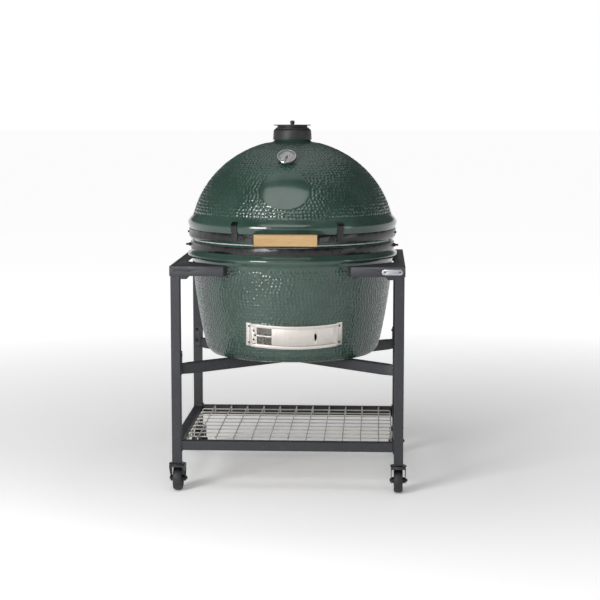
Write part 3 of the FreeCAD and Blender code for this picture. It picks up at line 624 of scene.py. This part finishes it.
def material_of(finish: Finish) -> bpy.types.Material:
    """Material of a finish, built once.

    Args:
        finish: The finish.

    Returns:
        Its material.
    """
    if finish not in MATERIALS:
        MATERIALS[finish] = finish.value.build()
    return MATERIALS[finish]


def body_of_node(node: str) -> str:
    """Name of the body a CAD node belongs to.

    Args:
        node: Node name.

    Returns:
        Body name.
    """
    for body, nodes in frame["record"]["behaviour"]["bodies"].items():
        if node in nodes:
            return body
    raise KeyError(node)


def stand_for(thing: bpy.types.Object, nodes: tuple[str, ...], finish: Finish) -> None:
    """Let a new piece stand for CAD nodes, riding on their body.

    Args:
        thing: The new piece.
        nodes: The nodes it replaces.
        finish: Its finish.
    """
    thing.data.materials.append(material_of(finish))
    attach(thing, body_of_node(nodes[0]))
    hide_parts(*nodes)
    LOG.info("%s stands for %s", thing.name, ", ".join(nodes))


def eased(node: str, width: float, finish: Finish, segments: int = 2) -> bpy.types.Object:
    """Copy of a CAD node with its sharp edges rounded, standing for it.

    Args:
        node: Node name.
        width: Edge radius in metres.
        finish: Its finish.
        segments: Facets across each rounded edge.

    Returns:
        The rounded copy.
    """
    shape = bmesh.new()
    shape.from_mesh(frame["nodes"][node].data)
    bmesh.ops.remove_doubles(shape, verts=shape.verts, dist=2e-6)
    bmesh.ops.dissolve_limit(shape, angle_limit=math.radians(0.6), verts=shape.verts, edges=shape.edges)
    thing = from_bmesh(node + "_eased", shape)
    round_edges = thing.modifiers.new("edge", "BEVEL")
    round_edges.width = width
    round_edges.segments = segments
    round_edges.limit_method = "ANGLE"
    round_edges.angle_limit = math.radians(32)
    round_edges.harden_normals = True
    for face in thing.data.polygons:
        face.use_smooth = True
    stand_for(thing, (node,), finish)
    return thing


# ---- dimpled ceramic -----------------------------------------------------
SHARP_RUN = 12             # a profile run with fewer points keeps each as a row


@dataclass
class Dimples:
    """Hammered pattern of shallow round hollows in the glaze.

    Attributes:
        pitch: Distance between neighbouring hollows.
        depth: Depth of a hollow.
        wander: How far a hollow strays from its place, as a share of the pitch.
    """

    pitch: float = 14.6 * MM
    depth: float = 2.3 * MM
    wander: float = 0.16

    def hollow(self, run: np.ndarray, radius: np.ndarray, azimuth: np.ndarray, seed: int) -> np.ndarray:
        """Depth share of the hollows over a grid on a surface of revolution.

        Args:
            run: Distance along the wall of each row.
            radius: Radius of each row.
            azimuth: Azimuth of each column.
            seed: Seed of the wandering.

        Returns:
            Array, rows by columns: 0 on the ridges and up to 1 in the hollows.
        """
        step = self.pitch * math.sqrt(3) / 2
        rng = np.random.default_rng(seed)
        count = int(run.max() / step) + 3
        best = np.full((len(run), len(azimuth)), 1e9)
        radius_at = np.interp(np.arange(count) * step, run, radius)
        number = np.maximum(8, np.round(2 * math.pi * radius_at / self.pitch)).astype(int)
        shift = [rng.uniform(-self.wander, self.wander, (n, 2)) * self.pitch for n in number]
        phase = rng.uniform(0, 1, count)
        nearest_row = np.clip(np.round(run / step).astype(int), 0, count - 1)
        for offset in (-2, -1, 0, 1, 2):
            for row in range(count):
                lines = np.nonzero(nearest_row + offset == row)[0]
                if not len(lines):
                    continue
                n = number[row]
                place = azimuth / (2 * math.pi) * n - phase[row]
                for side in (0, 1):
                    index = (np.floor(place).astype(int) + side) % n
                    near = (np.floor(place) + side + phase[row]) / n * 2 * math.pi
                    for line in lines:
                        du = (azimuth - near) * radius[line] - shift[row][index, 0]
                        dv = run[line] - row * step - shift[row][index, 1]
                        best[line] = np.minimum(best[line], du * du + dv * dv)
        reach = self.pitch * 0.56
        return np.clip(1 - best / reach ** 2, 0, 1) ** 0.85


@dataclass
class TurnedShell:
    """Closed turned wall whose outside rows carry the dimples.

    Attributes:
        name: Object name.
        node: CAD node it stands for.
        seed: Seed of the dimple pattern.
        columns: Columns round the wall.
        fine: Row spacing on the dimpled wall.
        coarse: Row spacing elsewhere.
    """

    name: str
    node: str
    seed: int
    columns: int = 960
    fine: float = 2.6 * MM
    coarse: float = 14.0 * MM
    dimples: Dimples = field(default_factory=Dimples)

    def sections(self) -> list[tuple[np.ndarray, bool, float]]:
        """Profile runs in order round the section.

        Returns:
            For each run its (radius, z) points, whether it is dimpled, and its rawness.
        """
        raise NotImplementedError

    def smooth_share(self, azimuth: np.ndarray, z: np.ndarray) -> np.ndarray:
        """Where the dimples fade out.

        Args:
            azimuth: Azimuth of each column, from the front towards +X.
            z: Height of each row.

        Returns:
            Array, rows by columns: 1 where the wall is smooth.
        """
        raise NotImplementedError

    def openings(self) -> list[tuple[float, float, float, float]]:
        """Openings through the wall.

        Returns:
            Lowest and highest z, first and last azimuth in degrees of each.
        """
        return []

    def build(self) -> bpy.types.Object:
        """Make the wall.

        Returns:
            The new object.
        """
        azimuth = np.linspace(-math.pi, math.pi, self.columns, endpoint=False)
        radii, heights, ridge, raw, spans = [], [], [], [], []
        for points, dimpled, rawness in self.sections():
            spacing = self.fine if dimpled else self.coarse
            r, z, run = self.resampled(np.asarray(points), spacing)
            grid_r = np.repeat(r[:, None], self.columns, 1)
            grid_z = np.repeat(z[:, None], self.columns, 1)
            level = np.ones_like(grid_r) * 0.75
            if dimpled:
                dr, dz = np.gradient(r), np.gradient(z)
                size = np.hypot(dr, dz)
                out_r, out_z = dz / size, -dr / size
                share = self.dimples.hollow(run, r, azimuth, self.seed)
                share *= 1 - self.smooth_share(azimuth, z)
                grid_r -= out_r[:, None] * share * self.dimples.depth
                grid_z -= out_z[:, None] * share * self.dimples.depth
                level = 1 - share
            spans.append((len(radii), dimpled))
            radii.extend(grid_r)
            heights.extend(grid_z)
            ridge.extend(level)
            raw.extend(np.full_like(level, rawness))
        r, z = np.array(radii), np.array(heights)
        verts = np.stack([r * np.sin(azimuth), -r * np.cos(azimuth), z], -1).reshape(-1, 3)
        rows, columns = r.shape
        i = np.arange(rows)[:, None]
        j = np.arange(columns)[None, :]
        below, beside = (i + 1) % rows, (j + 1) % columns
        quads = np.stack([i * columns + j, i * columns + beside, below * columns + beside,
                          below * columns + j], -1)
        quads = self.pierced(quads, z[:, 0], azimuth, spans).reshape(-1, 4)
        thing = new_mesh(self.name, verts, quads)
        for title, values in (("ridge", ridge), ("raw", raw)):
            layer = thing.data.attributes.new(title, "FLOAT", "POINT")
            layer.data.foreach_set("value", np.array(values, np.float32).ravel())
        stand_for(thing, (self.node,), Finish.GLAZE)
        LOG.info("%s: %d corners", self.name, len(verts))
        return thing

    @staticmethod
    def resampled(points: np.ndarray, spacing: float) -> tuple[np.ndarray, np.ndarray, np.ndarray]:
        """Points at an even spacing along a profile run.

        Args:
            points: (radius, z) corners of the run.
            spacing: Wanted spacing.

        Returns:
            Radii, heights and distances along the run.
        """
        length = np.concatenate([[0], np.cumsum(np.hypot(*np.diff(points, axis=0).T))])
        count = max(2, int(round(length[-1] / spacing)) + 1)
        run = np.linspace(0, length[-1], count)
        corners = length[(length > 0) & (length < length[-1])]
        if len(points) < SHARP_RUN:
            run = np.unique(np.concatenate([run, corners]))
        return np.interp(run, length, points[:, 0]), np.interp(run, length, points[:, 1]), run

    def pierced(self, quads: np.ndarray, z: np.ndarray, azimuth: np.ndarray,
                spans: list[tuple[int, bool]]) -> np.ndarray:
        """Faces with the openings cut through the wall.

        Args:
            quads: Faces, rows by columns by four.
            z: Height of each row.
            azimuth: Azimuth of each column.
            spans: First row of each profile run and whether it is dimpled.

        Returns:
            The remaining faces and the faces that line each opening.
        """
        keep = np.ones(quads.shape[:2], bool)
        lining = []
        columns = len(azimuth)
        for low, high, start, end in self.openings():
            cols = np.nonzero((azimuth > math.radians(start)) & (azimuth < math.radians(end)))[0]
            outer = spans[[flag for _, flag in spans].index(True)][0]
            last = next(first for first, _ in spans if first > outer)
            outside = [i for i in range(outer, last) if low < z[i] < high]
            inside = [i for i in range(spans[-1][0], len(z)) if low < z[i] < high]
            for rows in (outside, inside):
                keep[min(rows):max(rows), cols[0]:cols[-1]] = False
            # the outer wall runs upwards and the inner wall downwards
            pairs = ((min(outside), max(inside)), (max(outside), min(inside)))
            for a, b in pairs:
                for c in range(cols[0], cols[-1]):
                    lining.append([a * columns + c, a * columns + c + 1,
                                   b * columns + c + 1, b * columns + c])
            (sill_out, sill_in), (head_out, head_in) = pairs
            for c in (cols[0], cols[-1]):
                lining.append([row * columns + c for row in (sill_out, sill_in, head_in, head_out)])
        flat = quads[keep].reshape(-1, 4)
        if lining:
            flat = np.concatenate([flat, np.array(lining)])
        return flat


@dataclass
class Dome(TurnedShell):
    """Upper half of the ceramic body.

    Attributes:
        half_width: Half width of the elliptic wall.
        half_height: Half height of the ellipse.
        centre: Height of its centre.
        wall: Wall thickness.
        blank_middle: Height of the middle of the blank oval.
        blank_half_width: Half width of the oval.
        blank_half_height: Half height of the oval.
        blank_left: How far the oval stands left of the middle.
    """

    half_width: float = 406.0 * MM
    half_height: float = 385.0 * MM
    centre: float = 960.0 * MM
    wall: float = 21.0 * MM
    blank_middle: float = 1158 * MM
    blank_half_width: float = 98 * MM
    blank_half_height: float = 69 * MM
    blank_left: float = 9 * MM

    def ellipse(self, low: float, high: float, inset: float = 0.0) -> np.ndarray:
        """Points of the dome's wall.

        Args:
            low: Lowest height.
            high: Highest height.
            inset: Distance inside the outer wall.

        Returns:
            (radius, z) points, evenly spaced in angle.
        """
        b = self.half_height - inset
        angle = np.linspace(math.asin((low - self.centre) / b), math.asin((high - self.centre) / b), 90)
        return np.stack([(self.half_width - inset) * np.cos(angle), self.centre + b * np.sin(angle)], 1)

    def sections(self) -> list[tuple[np.ndarray, bool, float]]:
        """Profile runs in order round the section.

        Returns:
            For each run its (radius, z) points, whether it is dimpled, and its rawness.
        """
        foot = np.array([(379, 957), (404, 957), (407.6, 959.5), (408.5, 963), (408.5, 998.5),
                         (409.3, 1001.5), (411.4, 1004.2), (413.4, 1010), (415.6, 1019), (416, 1023.5),
                         (415.4, 1028), (412.2, 1032.2), (399.6, 1046.4)]) * MM
        outside = np.concatenate([[(397.6 * MM, 1049 * MM)], self.ellipse(1054 * MM, 1331 * MM),
                                  [(87 * MM, 1335 * MM)]])
        neck = np.array([(83, 1335.6), (76.5, 1337.5), (72.6, 1340.5), (71, 1344), (52, 1344),
                         (52, 1322)]) * MM
        inside = self.ellipse(960 * MM, 1320 * MM, self.wall)[::-1]
        return [(foot, False, 0.0), (outside, True, 0.0), (neck, False, 0.0), (inside, False, 1.0)]

    def smooth_share(self, azimuth: np.ndarray, z: np.ndarray) -> np.ndarray:
        """Smooth at the flange and neck and on a blank oval at the front.

        Args:
            azimuth: Azimuth of each column.
            z: Height of each row.

        Returns:
            Array, rows by columns: 1 where the wall is smooth.
        """
        low = np.clip((1056 * MM - z) / (5 * MM), 0, 1)[:, None]
        high = np.clip((z - 1326 * MM) / (8 * MM), 0, 1)[:, None]
        radius = np.interp(z, *self.ellipse(1050 * MM, 1331 * MM)[:, ::-1].T)
        across = azimuth[None, :] * radius[:, None] + self.blank_left
        up = z[:, None] - self.blank_middle
        oval = (across / self.blank_half_width) ** 2 + (up / self.blank_half_height) ** 2
        oval = np.clip((1.06 - oval) / 0.1, 0, 1)
        return np.maximum.reduce([np.broadcast_to(low, oval.shape), np.broadcast_to(high, oval.shape), oval])


@dataclass
class Bowl(TurnedShell):
    """Lower half of the ceramic body, with the draft opening.

    Attributes:
        seat_span: Half span of the draft door's seat, degrees.
        seat_half_height: Half height of the seat.
        seat_bow: How far the leaning seat would rise a quarter turn round.
        opening: Lowest and highest z, first and last azimuth of the draft opening.
    """

    seat_span: float = 30.4
    seat_half_height: float = 48 * MM
    seat_bow: float = 70 * MM
    opening: tuple[float, float, float, float] = (564 * MM, 638 * MM, -23.0, 21.5)

    def sections(self) -> list[tuple[np.ndarray, bool, float]]:
        """Profile runs in order round the section.

        Returns:
            For each run its (radius, z) points, whether it is dimpled, and its rawness.
        """
        lip = np.array([(0.5, 500), (300, 500), (312, 500), (318, 500.6), (323, 502)]) * MM
        knots = np.array([(323, 502), (330, 508), (341, 521), (349.5, 546), (356.8, 575), (363.6, 607),
                          (369.8, 640), (375.4, 672), (381.9, 713), (387.4, 753), (391.2, 786),
                          (395.4, 830), (398.5, 868)]) * MM
        z = np.linspace(knots[0, 1], knots[-1, 1], 140)
        outside = np.stack([self.eased_line(knots[:, 1], knots[:, 0], z), z], 1)
        rim = np.array([(398.6, 869), (399.4, 874), (401.6, 878.4), (406, 880.2), (411, 881.8),
                        (415, 884.6), (417.3, 889), (418, 895), (417.2, 901), (414.8, 905),
                        (411.4, 907.2), (406, 908.6), (403, 910.2), (402, 913), (402, 950.5),
                        (400, 953), (377, 953)]) * MM
        wall = np.array([(377, 952), (377, 870), (375, 830), (370, 770), (359, 700), (347, 640),
                         (335, 580), (322, 546), (305, 527), (0.5, 527)]) * MM
        return [(lip, False, 0.9), (outside, True, 0.0), (rim, False, 0.0), (wall, False, 1.0)]

    @staticmethod
    def eased_line(x: np.ndarray, y: np.ndarray, at: np.ndarray) -> np.ndarray:
        """Smooth curve through points.

        Args:
            x: Positions, rising.
            y: Values.
            at: Where to read the curve.

        Returns:
            Values of the curve.
        """
        slope = np.gradient(y, x)
        i = np.clip(np.searchsorted(x, at) - 1, 0, len(x) - 2)
        h = x[i + 1] - x[i]
        t = (at - x[i]) / h
        return ((2 * t ** 3 - 3 * t ** 2 + 1) * y[i] + (t ** 3 - 2 * t ** 2 + t) * h * slope[i]
                + (3 * t ** 2 - 2 * t ** 3) * y[i + 1] + (t ** 3 - t ** 2) * h * slope[i + 1])

    def smooth_share(self, azimuth: np.ndarray, z: np.ndarray) -> np.ndarray:
        """Smooth at the foot and under the rim, and under the draft door.

        Args:
            azimuth: Azimuth of each column.
            z: Height of each row.

        Returns:
            Array, rows by columns: 1 where the wall is smooth.
        """
        low = np.clip((512 * MM - z) / (6 * MM), 0, 1)[:, None]
        high = np.clip((z - 862 * MM) / (6 * MM), 0, 1)[:, None]
        door = self.under_door(azimuth, z)
        return np.maximum.reduce([np.broadcast_to(low, door.shape), np.broadcast_to(high, door.shape), door])

    def under_door(self, azimuth: np.ndarray, z: np.ndarray) -> np.ndarray:
        """Where the draft door's seat is ground flat.

        Args:
            azimuth: Azimuth of each column.
            z: Height of each row.

        Returns:
            Array, rows by columns: 1 under the door.
        """
        turn = azimuth[None, :] - math.radians(DOOR_TURN)
        rise = self.seat_bow * (1 - np.cos(turn))
        across = np.abs(turn) < math.radians(self.seat_span)
        along = np.abs(z[:, None] - DOOR_MIDDLE - rise) < self.seat_half_height
        return (across & along).astype(float)

    def openings(self) -> list[tuple[float, float, float, float]]:
        """The draft opening behind the door.

        Returns:
            Lowest and highest z, first and last azimuth in degrees.
        """
        return [self.opening]


# ---- frame ---------------------------------------------------------------
@dataclass
class SteelFrame:
    """Legs, rails, beams and folded tops of powder-coated steel.

    Attributes:
        tube: Side of the square tubes.
        corner: Outer corner radius of the tubes.
        fold: Radius of the sheet's folds.
    """

    tube: float = 36.0 * MM
    corner: float = 3.0 * MM
    fold: float = 1.2 * MM

    def bar(self, low: Vector, high: Vector, corner: float) -> bmesh.types.BMesh:
        """Box with rounded edges.

        Args:
            low: Lowest corner.
            high: Highest corner.
            corner: Edge radius.

        Returns:
            The box.
        """
        shape = bmesh.new()
        bmesh.ops.create_cube(shape, size=1.0)
        size = high - low
        place = Matrix.Translation((low + high) / 2) @ Matrix.Diagonal((*size, 1.0))
        bmesh.ops.transform(shape, matrix=place, verts=shape.verts)
        bmesh.ops.bevel(shape, geom=list(shape.edges), offset=corner, segments=3, affect="EDGES",
                        profile=0.5)
        return shape

    def bars(self, name: str, spans: list[tuple[Vector, Vector]], corner: float,
             turn: float = 0.0) -> bpy.types.Object:
        """Several rounded boxes as one piece.

        Args:
            name: Object name.
            spans: Lowest and highest corner of each box.
            corner: Edge radius.
            turn: Turn about Z of them all, in radians.

        Returns:
            The new object.
        """
        whole = bmesh.new()
        for low, high in spans:
            shape = self.bar(low, high, corner)
            bmesh.ops.transform(shape, matrix=Matrix.Rotation(turn, 4, "Z"), verts=shape.verts)
            part = bpy.data.meshes.new("part")
            shape.to_mesh(part)
            shape.free()
            whole.from_mesh(part)
            bpy.data.meshes.remove(part)
        return from_bmesh(name, whole)

    def pair(self, node: str, across: int) -> None:
        """Two equal bars at both ends of a node's box.

        Args:
            node: CAD node.
            across: Axis along which the two bars stand apart.
        """
        low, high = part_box(node)
        first_high, second_low = high.copy(), low.copy()
        first_high[across] = low[across] + self.tube
        second_low[across] = high[across] - self.tube
        thing = self.bars(node + "_bars", [(low, first_high), (second_low, high)], self.corner)
        stand_for(thing, (node,), Finish.FRAME)

    def build(self) -> None:
        """Make the frame's pieces."""
        self.pair("legs_front", 0)
        self.pair("legs_rear", 0)
        self.pair("rails_front_rear", 1)
        self.pair("rails_sides", 0)
        for node in ("top_plate_left", "top_plate_right"):
            eased(node, self.fold, Finish.FRAME)
        for node in ("cross_beam_long", "cross_beam_halves", "lip_gussets"):
            eased(node, self.fold, Finish.FRAME)
        for node in ("leg_brackets", "rail_end_plates", "shelf_ledges"):
            eased(node, 0.7 * MM, Finish.BRACKET)
        eased("name_badge", 0.35 * MM, Finish.BADGE)
        for node, finish in (("bracket_bolts", Finish.BOLT), ("badge_rivets", Finish.FIXING),
                             ("support_pads", Finish.RUBBER), ("wire_shelf", Finish.WIRE)):
            dress(node, finish)


@dataclass
class Castors:
    """Four swivel castors.

    Attributes:
        corners: Name endings of the castors.
        edge: Edge radius of the forks.
    """

    corners: tuple[str, ...] = ("front_left", "front_right", "rear_left", "rear_right")
    edge: float = 0.6 * MM

    def build(self) -> None:
        """Dress the castors."""
        eased("castor_sockets", self.edge, Finish.CASTOR)
        for corner in self.corners:
            eased("castor_fork_" + corner, self.edge, Finish.CASTOR)
            dress("castor_wheel_" + corner, Finish.TREAD)
            if corner.startswith("front"):
                eased("brake_pedal_" + corner, self.edge, Finish.PEDAL)


@dataclass
class Bands:
    """Steel bands, hinge, clips and the handle's brackets.

    Attributes:
        edge: Edge radius of the flat steel.
    """

    edge: float = 0.6 * MM

    def build(self) -> None:
        """Dress the black steelwork and its fixings."""
        for node in ("lower_band", "upper_band", "handle_brackets", "band_clips", "hinge_lower_bracket",
                     "hinge_upper_bracket"):
            eased(node, self.edge, Finish.BAND)
        for node in ("lower_band_bolts", "upper_band_bolts", "handle_bolts"):
            dress(node, Finish.BOLT)
        for node in ("hinge_pin", "hinge_springs"):
            dress(node, Finish.FIXING)
        dress("handle_grip", Finish.WOOD)
        dress("base_gasket", Finish.FELT)
        dress("dome_gasket", Finish.FELT)


@dataclass
class Interior:
    """Loose ceramic and metal inside the body."""

    def build(self) -> None:
        """Dress the inner pieces."""
        dress("firebox", Finish.CLAY)
        dress("fire_ring", Finish.CLAY)
        dress("fire_grate", Finish.IRON)
        dress("cooking_grid", Finish.STEEL)


@dataclass
class VentCap:
    """Cast collar, slider and wheel on the neck.

    Attributes:
        edge: Edge radius of the castings.
    """

    edge: float = 0.8 * MM

    def build(self) -> None:
        """Dress the cap."""
        for node in ("vent_collar", "vent_slider", "vent_wheel"):
            eased(node, self.edge, Finish.IRON)


@dataclass
class DraftDoor:
    """Stainless draft door with woven mesh behind its windows.

    Attributes:
        radius: Radius of the mesh about the door's own axis.
        turn: Azimuth of the door's middle, degrees.
        tilt: Lean of its axis, degrees.
        middle: Height of its middle.
        seat: Distance of its middle from the body's axis.
        seat_radius: Radius of the seat about the door's own axis.
        windows: First and last angle of each column of windows, degrees.
        rows: Lowest and highest height of each row of windows.
        pitch: Wire spacing.
        wire: Wire radius.
    """

    radius: float = 369.65 * MM
    turn: float = DOOR_TURN
    tilt: float = 11.3
    middle: float = DOOR_MIDDLE
    seat: float = 362.9 * MM
    seat_radius: float = 367.0 * MM
    windows: tuple[tuple[float, float], ...] = ((-22.7, -13.3), (-11.1, -1.7), (0.1, 9.5))
    rows: tuple[tuple[float, float], ...] = ((2.8 * MM, 33.2 * MM), (-33.2 * MM, -2.8 * MM))
    pitch: float = 1.9 * MM
    wire: float = 0.24 * MM

    def placed(self, verts: np.ndarray) -> np.ndarray:
        """Move corners from the door's own axis to its place.

        Args:
            verts: Corners about the door's axis.

        Returns:
            Corners in the row frame.
        """
        lean = math.radians(self.tilt)
        offset = Vector((0, self.seat_radius * math.cos(lean) - self.seat,
                         self.middle + self.seat_radius * math.sin(lean)))
        place = (Matrix.Rotation(math.radians(self.turn), 4, "Z") @ Matrix.Translation(offset)
                 @ Matrix.Rotation(lean, 4, "X"))
        flat = np.array(place)
        return verts @ flat[:3, :3].T + flat[:3, 3]

    def woven(self) -> bpy.types.Object:
        """Woven wires across every window.

        Returns:
            The new object.
        """
        pieces = []
        for start, end in self.windows:
            a0, a1 = math.radians(start), math.radians(end)
            count = int((a1 - a0) * self.radius / self.pitch)
            upright = np.linspace(a0, a1, count + 1)[1:-1]
            for low, high in self.rows:
                tall = int((high - low) / self.pitch)
                level = np.linspace(low, high, tall + 1)[1:-1]
                for k, a in enumerate(upright):
                    r = self.radius + self.wire * 0.5 * (-1) ** k
                    line = np.array([(r * math.sin(a), -r * math.cos(a), end) for end in (low, high)])
                    pieces.append(tube(line, self.wire, 4))
                run = np.linspace(a0, a1, 9)
                for k, height in enumerate(level):
                    r = self.radius + self.wire * 0.5 * (-1) ** (k + 1)
                    line = np.stack([r * np.sin(run), -r * np.cos(run), np.full_like(run, height)], 1)
                    pieces.append(tube(line, self.wire, 4))
        verts, quads = gathered(pieces)
        return new_mesh("draft_woven_mesh", self.placed(verts), quads)

    def build(self) -> None:
        """Make the mesh and dress the plates."""
        stand_for(self.woven(), ("draft_mesh",), Finish.MESH)
        eased("draft_frame", 0.4 * MM, Finish.STEEL)
        eased("draft_door", 0.3 * MM, Finish.STEEL)
        eased("draft_screen", 0.3 * MM, Finish.STEEL)
        dress("draft_screws", Finish.FIXING)


@dataclass
class Gauge:
    """Dial thermometer with printed marks.

    Attributes:
        centre: Back of the case, on its axis.
        tilt: Elevation of the dial's outward normal, degrees.
        face: Height of the dial's surface above the back.
        rim: Outer radius of the marks.
        ticks: Number of marks.
        first: Angle of the first mark from straight up, degrees clockwise.
        last: Angle of the last mark, degrees clockwise.
        hot: First and last angle of the red zone, degrees clockwise.
        hot_radii: Inner and outer radius of the red zone.
    """

    centre: tuple[float, float, float] = (-8.0 * MM, -245.671 * MM, 1279.926 * MM)
    tilt: float = 50.0
    face: float = 2.8 * MM
    rim: float = 30.0 * MM
    ticks: int = 31
    first: float = -150.0
    last: float = 150.0
    hot: tuple[float, float] = (70.0, 150.0)
    hot_radii: tuple[float, float] = (19.5 * MM, 22.0 * MM)

    def placed(self, shape: bmesh.types.BMesh) -> None:
        """Move a shape from the dial's own axes to its place.

        Args:
            shape: Shape whose +Z is the dial's normal.
        """
        lean = Matrix.Rotation(math.radians(90 - self.tilt), 4, "X")
        place = Matrix.Translation(Vector(self.centre)) @ lean
        bmesh.ops.transform(shape, matrix=place, verts=shape.verts)

    def marks(self) -> bpy.types.Object:
        """Raised print marks round the dial.

        Returns:
            The new object.
        """
        shape = bmesh.new()
        for k in range(self.ticks):
            angle = math.radians(self.first + (self.last - self.first) * k / (self.ticks - 1))
            long_mark = k % 5 == 0
            size = (0.9 * MM if long_mark else 0.45 * MM, 6.0 * MM if long_mark else 3.2 * MM, 0.12 * MM)
            mid = self.rim - size[1] / 2
            place = (Matrix.Rotation(-angle, 4, "Z") @ Matrix.Translation((0, mid, self.face + 0.06 * MM))
                     @ Matrix.Diagonal((*size, 1.0)))
            bmesh.ops.create_cube(shape, size=1.0, matrix=place)
        self.placed(shape)
        return from_bmesh("dial_marks", shape)

    def zone(self) -> bpy.types.Object:
        """Curved red zone at the hot end of the scale.

        Returns:
            The new object.
        """
        shape = bmesh.new()
        rings = []
        for degrees in np.linspace(*self.hot, 13):
            angle = math.radians(degrees)
            pair = []
            for radius in self.hot_radii:
                pair.append(shape.verts.new((radius * math.sin(angle), radius * math.cos(angle),
                                             self.face + 0.08 * MM)))
            rings.append(pair)
        for a, b in zip(rings, rings[1:]):
            shape.faces.new((a[0], a[1], b[1], b[0]))
        self.placed(shape)
        return from_bmesh("dial_zone", shape)

    def build(self) -> None:
        """Dress the gauge and add its printed marks."""
        dress("thermometer_case", Finish.CHROME)
        dress("thermometer_dial", Finish.DIAL)
        dress("thermometer_needle", Finish.NEEDLE)
        dress("thermometer_lens", Finish.LENS)
        for thing, finish in ((self.marks(), Finish.MARK), (self.zone(), Finish.RED)):
            thing.data.materials.append(material_of(finish))
            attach(thing, "dome")
            LOG.info("%s rides on the dome", thing.name)


# ---- studio --------------------------------------------------------------
@dataclass(frozen=True)
class Lamp:
    """Rectangular soft light.

    Attributes:
        name: Its name.
        place: Its position.
        target: Point it faces.
        size: Width and height.
        power: Power in watts.
    """

    name: str
    place: tuple[float, float, float]
    target: tuple[float, float, float]
    size: tuple[float, float]
    power: float

    def build(self) -> None:
        """Hang the light."""
        lamp = bpy.data.lights.new(self.name, "AREA")
        lamp.shape = "RECTANGLE"
        lamp.size, lamp.size_y = self.size
        lamp.energy = self.power
        thing = bpy.data.objects.new(self.name, lamp)
        thing.location = self.place
        way = Vector(self.target) - Vector(self.place)
        thing.rotation_euler = way.to_track_quat("-Z", "Y").to_euler()
        bpy.context.collection.objects.link(thing)


@dataclass
class Studio:
    """Pale floor, soft lights and the camera.

    Attributes:
        eye: Camera position.
        yaw: Turn of the camera to the left, degrees.
        pitch: Tilt below the horizon, degrees.
        lens: Focal length in millimetres on a 36 mm sensor.
        paper: Floor colour, linear.
        glow: Distances between which the floor brightens, and its glow there.
        sky: Brightness overhead, against 1 at the horizon.
        lamps: The soft lights.
    """

    eye: tuple[float, float, float] = (0.3446, -6.2174, 1.4711)
    yaw: float = 2.895
    pitch: float = 7.035
    lens: float = 93.64
    paper: tuple[float, float, float] = (0.96, 0.96, 0.96)
    glow: tuple[float, float, float, float] = (0.9, 4.5, 0.2, 0.85)
    sky: float = 0.1
    lamps: tuple[Lamp, ...] = (
        Lamp("key", (-2.3, -3.6, 1.8), (0, 0, 0.8), (1.3, 1.6), 112),
        Lamp("edge", (3.0, -1.6, 1.5), (0, 0, 0.8), (0.5, 1.4), 5),
        Lamp("crown", (-0.3, -2.3, 3.4), (0, -0.2, 1.1), (2.6, 2.0), 38),
        Lamp("top", (0.0, 0.8, 5.0), (0, 0, 0.0), (4.0, 4.0), 34),
    )

    def floor(self) -> None:
        """Large pale floor with a painted glow that rises away from the object, and runs out of sight."""
        bpy.ops.mesh.primitive_plane_add(size=600, location=(0, 0, -0.0005))
        thing = bpy.context.object
        thing.name = "studio_floor"
        s = Shader("studio_paper")
        distance = s.tree.nodes.new("ShaderNodeVectorMath")
        distance.operation = "LENGTH"
        s.link(s.coords, distance.inputs[0])
        near, far, low, high = self.glow
        # painted glow: the floor emits light, weak near the object and strong far off, so the far floor turns
        # white
        s.link(s.spread(distance.outputs["Value"], near, far, low, high), s.bsdf.inputs["Emission Strength"])
        s.link(s.blend(s.noise(0.7), self.paper, tuple(0.99 * c for c in self.paper)),
               s.bsdf.inputs["Base Color"])
        s.put(Roughness=0.9, Emission_Color=(1.0, 1.0, 1.0, 1.0))
        thing.data.materials.append(s.material)

    def surround(self) -> None:
        """Bright horizon all round, fading to a dimmer sky overhead."""
        world = bpy.data.worlds.new("studio_world")
        world.use_nodes = True
        tree = world.node_tree
        shade = tree.nodes["Background"]
        coords = tree.nodes.new("ShaderNodeTexCoord")
        split = tree.nodes.new("ShaderNodeSeparateXYZ")
        fade = tree.nodes.new("ShaderNodeMapRange")
        for name, number in (("From Min", 0.09), ("From Max", 0.16), ("To Min", 1.0),
                             ("To Max", self.sky)):
            fade.inputs[name].default_value = number
        tree.links.new(coords.outputs["Generated"], split.inputs["Vector"])
        tree.links.new(split.outputs["Z"], fade.inputs["Value"])
        tree.links.new(fade.outputs["Result"], shade.inputs["Strength"])
        shade.inputs["Color"].default_value = (1.0, 1.0, 1.0, 1.0)
        bpy.context.scene.world = world

    def camera(self) -> None:
        """Camera a little right of the front, looking slightly down."""
        data = bpy.data.cameras.new("camera")
        data.lens = self.lens
        data.sensor_width = 36.0
        data.clip_end = 100.0
        thing = bpy.data.objects.new("camera", data)
        thing.location = self.eye
        thing.rotation_euler = (math.radians(90 - self.pitch), 0.0, math.radians(self.yaw))
        bpy.context.collection.objects.link(thing)
        bpy.context.scene.camera = thing

    def build(self) -> None:
        """Set up the studio."""
        self.floor()
        self.surround()
        for lamp in self.lamps:
            lamp.build()
        self.camera()
        bpy.context.scene.view_settings.view_transform = "Standard"


def main() -> None:
    """Build every sub-assembly and the studio."""
    Dome("dome_dimpled", "ceramic_dome", 11).build()
    Bowl("bowl_dimpled", "ceramic_base", 23).build()
    SteelFrame().build()
    Castors().build()
    Bands().build()
    Interior().build()
    VentCap().build()
    DraftDoor().build()
    Gauge().build()
    Studio().build()


if __name__ == "__main__":
    main()
